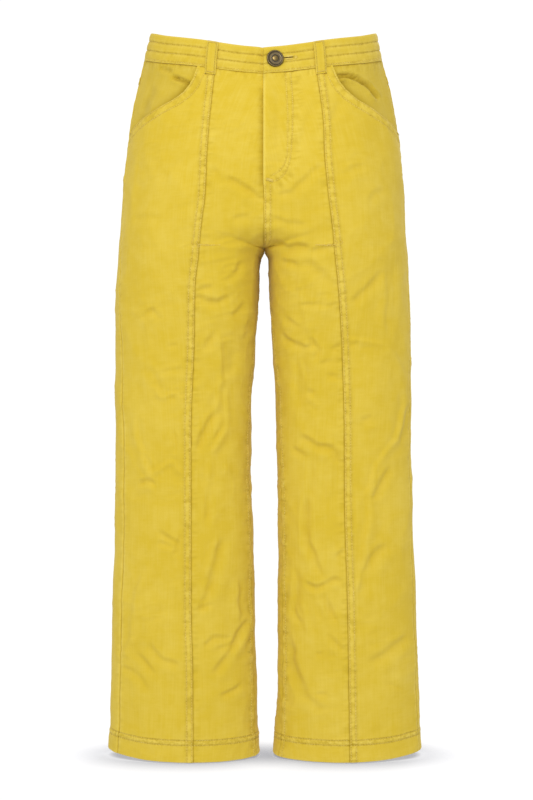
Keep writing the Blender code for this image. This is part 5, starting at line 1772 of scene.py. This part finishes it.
def node(tree, kind, settings=(), links=()):
    """Adds a node. Settings are pairs of a property or an input and its value, and links are pairs of an
    input and a socket."""
    made = tree.nodes.new(kind)
    for key, value in settings:
        if isinstance(key, str) and hasattr(made, key):
            setattr(made, key, value)
        else:
            made.inputs[key].default_value = value
    for key, socket in links:
        tree.links.new(made.inputs[key], socket)
    return made.outputs


def new_material(name):
    """An empty material's tree, and its shader."""
    made = bpy.data.materials.new(name)
    made.use_nodes = True
    made.node_tree.nodes.clear()
    tree = made.node_tree
    shader = tree.nodes.new("ShaderNodeBsdfPrincipled")
    output = tree.nodes.new("ShaderNodeOutputMaterial")
    tree.links.new(output.inputs["Surface"], shader.outputs["BSDF"])
    return made, tree, shader


def scaled(value, factor):
    """A colour a little lighter or darker than the garment's. The pocket mouth's twill and the sunk thread
    are drawn darker as painted shade.
    """
    return tuple(min(1.0, channel * factor) for channel in value)


def sum_of(tree, *terms, start=0.0):
    """Weighted sockets added up from a start, kept between 0 and 1."""
    total = None
    for socket, weight in terms:
        carried = [(2, total)] if total else []
        added = [("operation", "MULTIPLY_ADD"), (1, weight), (2, start)]
        total = node(tree, "ShaderNodeMath", added, [(0, socket), *carried])[0]
    total.node.use_clamp = True
    return total


def mark(tree, name, field="Fac"):
    """A mark that a piece's mesh carries."""
    return node(tree, "ShaderNodeAttribute", [("attribute_name", name)])[field]


def blotches(tree, place, per_metre, detail):
    """Soft noise, as so many blotches a metre."""
    scaled_so = [("Scale", per_metre), ("Detail", detail)]
    return node(tree, "ShaderNodeTexNoise", scaled_so, [("Vector", place)])["Fac"]


def streaks(tree, place, x_per_metre, y_per_metre, detail):
    """Noise drawn out along the cut cloth's threads."""
    stretch = [("Scale", (x_per_metre, y_per_metre, 1.0))]
    return blotches(tree, node(tree, "ShaderNodeMapping", stretch, [("Vector", place)])[0], 1.0, detail)


def roughened(tree, shader, height, strength, depth):
    """Gives a shader fine relief, of this depth in millimetres."""
    relief = [("Strength", strength), ("Distance", depth * MM)]
    bump = node(tree, "ShaderNodeBump", relief, [("Height", height)])["Normal"]
    tree.links.new(shader.inputs["Normal"], bump)


def finished(tree, shader, **inputs):
    """Sets a shader's inputs by name, each to a fixed value or a socket."""
    for key, value in inputs.items():
        socket = shader.inputs[key.replace("_", " ")]
        if isinstance(value, bpy.types.NodeSocket):
            tree.links.new(socket, value)
        else:
            socket.default_value = value


def tinted(tree, amount, one, other):
    """A colour between two, by an amount; either may be a socket or a fixed colour."""
    mix = [("data_type", "RGBA")]
    links = [(0, amount)]
    for key, value in ((6, one), (7, other)):
        if isinstance(value, tuple):
            mix.append((key, (*value, 1.0)))
        else:
            links.append((key, value))
    return node(tree, "ShaderNodeMix", mix, links)[2]


# In millimetres: how far apart the twill's lines are drawn, and a wave texture's lines at a scale of 1.
TWILL_LINES_APART = 1.6
WAVE_LINES_APART = 0.314
PUCKER_LENGTH = 3.4


def dyed_twill(name, tone):
    """Cotton twill, woven, garment-dyed and washed: a dry matt face with a trace of fuzz. The dye takes
    unevenly, pale where seams rub and deep where it gathers at seams. Its colour also carries painted
    light:
    painted highlight on ridges and puckers, and painted shade in troughs, in grooves and along the stitch
    rows. Real twill lines are about 0.6 mm apart, too fine for a picture of the whole garment, so they are
    drawn 1.6 mm apart. Slubs, the thicker stretches of yarn, are about 1 mm wide and 40 mm long."""
    found = bpy.data.materials.get(name)
    if found:
        return found
    made, tree, shader = new_material(name)
    dyes = bpy.context.scene.jeans_colours
    cut = mark(tree, "cut", "Vector")
    worn = mark(tree, "worn")
    deep_dye_and_shade = mark(tree, "deep_dye_and_shade")
    stitched = mark(tree, "stitched")
    patches = blotches(tree, cut, 11.0, 4.0)
    cloudy = blotches(tree, cut, 60.0, 3.0)
    slubs = streaks(tree, cut, 520.0, 18.0, 3.0)
    flecks = streaks(tree, cut, 60.0, 620.0, 2.0)
    turned = [("Rotation", (0.0, 0.0, math.radians(-58))), ("Scale", (1 / MM, 1 / MM, 1 / MM))]
    diagonal = node(tree, "ShaderNodeMapping", turned, [("Vector", cut)])[0]
    drawn = [("Scale", WAVE_LINES_APART / TWILL_LINES_APART), ("Distortion", 1.4)]
    drawn += [("Detail", 2.0), ("Detail Scale", 0.6)]
    lines = node(tree, "ShaderNodeTexWave", drawn, [("Vector", diagonal)])["Fac"]
    # Puckers along the stitch rows are drawn in colour: painted highlight on them, and painted shade of the
    # groove between them.
    sharp = sum_of(tree, (blotches(tree, cut, 1 / (PUCKER_LENGTH * MM), 1.0), 3.2), start=-1.1)
    puckered = node(tree, "ShaderNodeMath", [("operation", "MULTIPLY")], [(0, sharp), (1, stitched)])[0]
    cloth_marks = ((patches, 1.1), (cloudy, 0.95), (slubs, 0.75), (flecks, 0.45))
    pale = sum_of(tree, *cloth_marks, (worn, 0.75), (puckered, 0.5), start=-1.4)
    base = tinted(tree, pale, scaled(dyes.twill, tone), scaled(dyes.faded, tone))
    painted_stitch_shade = ((stitched, 0.32), (puckered, -0.32))
    # How far the colour goes to the deep colour: deeper dye at seams, and painted shade in troughs, grooves
    # and along the stitch rows.
    gathered = sum_of(tree, (deep_dye_and_shade, 1.0), (lines, 0.10), (cloudy, 0.12), *painted_stitch_shade, start=-0.06)
    dye = tinted(tree, gathered, base, scaled(dyes.deep_dye_and_shade, tone))
    height = sum_of(tree, (lines, 0.25), (slubs, 0.2), (flecks, 0.2), (puckered, 0.5))
    roughened(tree, shader, height, 0.5, 0.55)
    finished(tree, shader, Base_Color=dye, Roughness=0.88, IOR=1.5, Specular_IOR_Level=0.25)
    finished(tree, shader, Sheen_Weight=0.08, Sheen_Roughness=0.5)
    return made


def twill():
    return dyed_twill("garment_dyed_cotton_twill", 1.0)


def band_twill():
    return dyed_twill("doubled_cotton_twill_of_the_band", 0.97)


def pocket_twill():
    # The same twill drawn darker, as painted shade inside the pocket mouth.
    return dyed_twill("cotton_twill_inside_the_pocket_mouth", 0.9)


def spun_thread(name, tone):
    """Core-spun topstitching thread, twisted and dyed with the garment: paler than the cloth and slightly
    lustrous, with fibres that stand off it."""
    found = bpy.data.materials.get(name)
    if found:
        return found
    made, tree, shader = new_material(name)
    dyes = bpy.context.scene.jeans_colours
    place = node(tree, "ShaderNodeTexCoord")["Object"]
    paler = sum_of(tree, (blotches(tree, place, 90.0, 3.0), 1.6), start=-0.5)
    dye = tinted(tree, paler, scaled(dyes.twill, tone), scaled(dyes.thread, tone))
    roughened(tree, shader, blotches(tree, place, 2200.0, 2.0), 0.5, 0.2)
    finished(tree, shader, Base_Color=dye, Roughness=0.6, IOR=1.5, Sheen_Weight=0.1)
    return made


def thread():
    return spun_thread("core_spun_thread", 1.0)


def sunk_thread():
    # The same thread drawn darker, as painted shade where the rows sink into the cloth.
    return spun_thread("core_spun_thread_sunk_in_the_cloth", 0.86)


def antique_metal():
    """Brass, die-struck and plated a brown black, then tumbled: dull in the ring, rubbed through to bare
    brass on the boss and lighter on the rim, with fine scratches that spread its highlights."""
    found = bpy.data.materials.get("antique_plated_brass")
    if found:
        return found
    made, tree, shader = new_material("antique_plated_brass")
    dyes = bpy.context.scene.jeans_colours
    place = node(tree, "ShaderNodeTexCoord")["Object"]
    worn = mark(tree, "worn")
    cloudy = blotches(tree, place, 420.0, 4.0)
    rubbed = sum_of(tree, (worn, 0.9), (cloudy, 0.6), start=-0.3)
    plate = tinted(tree, rubbed, tuple(dyes.metal), tuple(dyes.brass))
    dull = sum_of(tree, (cloudy, 0.35), (worn, -0.12), start=0.25)
    roughened(tree, shader, blotches(tree, place, 1900.0, 4.0), 0.25, 0.1)
    finished(tree, shader, Base_Color=plate, Roughness=dull, Metallic=1.0)
    return made


def floor_paint():
    """Matt white emulsion on a studio floor, as white as paper, with a painted shadow that darkens it
    near what stands on it.
    """
    made, tree, shader = new_material("matt_white_floor_paint")
    white = bpy.context.scene.jeans_colours.floor
    reach = [("samples", 8), ("Distance", CONTACT_SHADE_REACH)]
    # Painted shadow: the floor's colour and glow darken where nearby surfaces close it in.
    open_share = node(tree, "ShaderNodeAmbientOcclusion", reach)["AO"]
    shaded = tinted(tree, open_share, from_hex(CONTACT_SHADE), tuple(white))
    dimmed = tinted(tree, open_share, from_hex(CONTACT_SHADE), scaled(white, FLOOR_TAKES_LIGHT))
    finished(tree, shader, Base_Color=dimmed, Roughness=0.95, Specular_IOR_Level=0.1)
    finished(tree, shader, Emission_Color=shaded, Emission_Strength=FLOOR_GLOW)
    return made


# The studio, in metres and watts. The camera is level, and as far off as the photograph's was. The floor
# glows nearly white by itself, takes little light, and a painted shadow darkens it near what stands on it.
CAMERA_PLACE = (0.0027, -2.5, -0.491)
CAMERA_LENS = 83.96
FLOOR_HEIGHT = -0.9655
FLOOR_RADIUS = 1.35
FLOOR_GLOW = 0.9
FLOOR_TAKES_LIGHT = 0.2
CONTACT_SHADE = "#1A2440"
CONTACT_SHADE_REACH = 0.07
BACKDROP_RADIUS = 8.0
BACKDROP_GLOW = 1.05
# A large soft lamp high in front, another behind, and an even fill.
KEY_PLACE = (-0.32, -2.5, 0.95)
KEY_WATTS = 34.0
BACK_PLACE = (1.0, 2.4, 1.0)
BACK_WATTS = 30.0
LAMPS_AIM = (0.0, 0.0, -0.3)
LAMP_SIZE = 1.4
FILL_STRENGTH = 0.8
FILL_COLOUR = (0.97, 0.985, 1.0, 1.0)


def backdrop_white():
    """A white backdrop that glows evenly by itself, so it is plain white to the camera."""
    made, tree, shader = new_material("lit_white_paper")
    finished(tree, shader, Base_Color=(0.0, 0.0, 0.0, 1.0), Specular_IOR_Level=0.0)
    finished(tree, shader, Emission_Color=(1.0, 1.0, 1.0, 1.0), Emission_Strength=BACKDROP_GLOW)
    return made


def stage_mesh(name, finish, build):
    """A piece of the studio, which isn't part of the jeans."""
    shape = bmesh.new()
    build(shape)
    mesh = bpy.data.meshes.new(name)
    shape.to_mesh(mesh)
    shape.free()
    mesh.materials.append(finish)
    mesh.shade_smooth()
    made = bpy.data.objects.new(name, mesh)
    bpy.context.scene.collection.objects.link(made)
    return made


def studio():
    """White floor and backdrop, two large soft lamps in a pale fill, and the camera."""
    scene = bpy.context.scene
    scene.view_settings.view_transform = "Standard"
    floor = stage_mesh(
        "floor",
        floor_paint(),
        lambda shape: bmesh.ops.create_circle(shape, cap_ends=True, segments=96, radius=FLOOR_RADIUS),
    )
    floor.location.z = FLOOR_HEIGHT
    floor.visible_diffuse = False
    backdrop = stage_mesh(
        "backdrop",
        backdrop_white(),
        lambda shape: bmesh.ops.create_icosphere(shape, subdivisions=4, radius=BACKDROP_RADIUS),
    )
    for unseen in ("visible_diffuse", "visible_glossy", "visible_shadow", "visible_transmission"):
        setattr(backdrop, unseen, False)
    world = bpy.data.worlds.new("studio_fill")
    world.use_nodes = True
    fill = world.node_tree.nodes["Background"].inputs
    fill["Strength"].default_value = FILL_STRENGTH
    fill["Color"].default_value = FILL_COLOUR
    scene.world = world
    for name, place, watts in (("key_lamp", KEY_PLACE, KEY_WATTS), ("back_lamp", BACK_PLACE, BACK_WATTS)):
        lamp = bpy.data.lights.new(name, "AREA")
        lamp.shape = "DISK"
        lamp.size = LAMP_SIZE
        lamp.energy = watts
        hung = bpy.data.objects.new(name, lamp)
        hung.location = place
        hung.rotation_euler = (Vector(place) - Vector(LAMPS_AIM)).to_track_quat("Z", "Y").to_euler()
        hung.visible_camera = False
        scene.collection.objects.link(hung)
    view = bpy.data.cameras.new("camera")
    view.lens = CAMERA_LENS
    view.clip_end = 100
    camera = bpy.data.objects.new("camera", view)
    camera.location = CAMERA_PLACE
    camera.rotation_euler = (math.pi / 2, 0.0, 0.0)
    scene.collection.objects.link(camera)
    scene.camera = camera


class JEANS_OT_front_panels(bpy.types.Operator):
    """Add the inner and outer front leg panels of both legs"""

    bl_idname = "jeans.front_panels"
    bl_label = "Front Panels"

    def execute(self, context):
        for half in SURFACE.values():
            front_inner(half)
            front_outer(half)
        return {"FINISHED"}


class JEANS_OT_hip_pockets(bpy.types.Operator):
    """Add the hip pieces seen in both pocket mouths"""

    bl_idname = "jeans.hip_pockets"
    bl_label = "Hip Pockets"

    def execute(self, context):
        for half in SURFACE.values():
            pocket(half)
        return {"FINISHED"}


class JEANS_OT_back_panels(bpy.types.Operator):
    """Add the back leg panels and the yokes above them"""

    bl_idname = "jeans.back_panels"
    bl_label = "Back Panels"

    def execute(self, context):
        for half in SURFACE.values():
            yoke(half)
            back(half)
        return {"FINISHED"}


class JEANS_OT_waistband(bpy.types.Operator):
    """Add the two halves of the waistband, with the buttonhole in the lapped end"""

    bl_idname = "jeans.waistband"
    bl_label = "Waistband"

    def execute(self, context):
        band_left()
        band_right()
        return {"FINISHED"}


class JEANS_OT_fly_shield(bpy.types.Operator):
    """Add the doubled strip behind the fly"""

    bl_idname = "jeans.fly_shield"
    bl_label = "Fly Shield"

    def execute(self, context):
        fly_underlap()
        return {"FINISHED"}


class JEANS_OT_belt_loops(bpy.types.Operator):
    """Add the five belt loops with their stitches and bar tacks"""

    bl_idname = "jeans.belt_loops"
    bl_label = "Belt Loops"

    def execute(self, context):
        belt_loops()
        return {"FINISHED"}


class JEANS_OT_button(bpy.types.Operator):
    """Add the shank button and the stitches round its buttonhole"""

    bl_idname = "jeans.button"
    bl_label = "Button"

    def execute(self, context):
        button()
        buttonhole()
        return {"FINISHED"}


class JEANS_OT_topstitching(bpy.types.Operator):
    """Add every visible row of stitches and the bar tacks"""

    bl_idname = "jeans.topstitching"
    bl_label = "Topstitching"

    def execute(self, context):
        front_stitching()
        back_stitching()
        hem_stitching()
        band_stitching()
        bar_tacks()
        return {"FINISHED"}


class JEANS_OT_studio(bpy.types.Operator):
    """Add the studio floor, backdrop, lights and camera"""

    bl_idname = "jeans.studio"
    bl_label = "Studio"

    def execute(self, context):
        studio()
        return {"FINISHED"}


OPERATORS = (
    JEANS_OT_front_panels,
    JEANS_OT_hip_pockets,
    JEANS_OT_back_panels,
    JEANS_OT_waistband,
    JEANS_OT_fly_shield,
    JEANS_OT_belt_loops,
    JEANS_OT_button,
    JEANS_OT_topstitching,
    JEANS_OT_studio,
)


class JEANS_PT_panel(bpy.types.Panel):
    """The jeans' sizes and colours, and a button for each piece"""

    bl_label = "Jeans"
    bl_idname = "JEANS_PT_panel"
    bl_space_type = "VIEW_3D"
    bl_region_type = "UI"
    bl_category = "Jeans"

    def draw(self, context):
        for group in (context.scene.jeans_sizes, context.scene.jeans_colours):
            for name in group.__annotations__:
                self.layout.prop(group, name)
        for operator in OPERATORS:
            self.layout.operator(operator.bl_idname)


CLASSES = (JeansSizes, JeansColours, *OPERATORS, JEANS_PT_panel)


def register():
    for each in CLASSES:
        bpy.utils.register_class(each)
    bpy.types.Scene.jeans_sizes = bpy.props.PointerProperty(type=JeansSizes)
    bpy.types.Scene.jeans_colours = bpy.props.PointerProperty(type=JeansColours)


def unregister():
    del bpy.types.Scene.jeans_colours
    del bpy.types.Scene.jeans_sizes
    for each in reversed(CLASSES):
        bpy.utils.unregister_class(each)


def main():
    register()
    for operator in OPERATORS:
        group, name = operator.bl_idname.split(".")
        getattr(getattr(bpy.ops, group), name)()


if __name__ == "__main__":
    main()
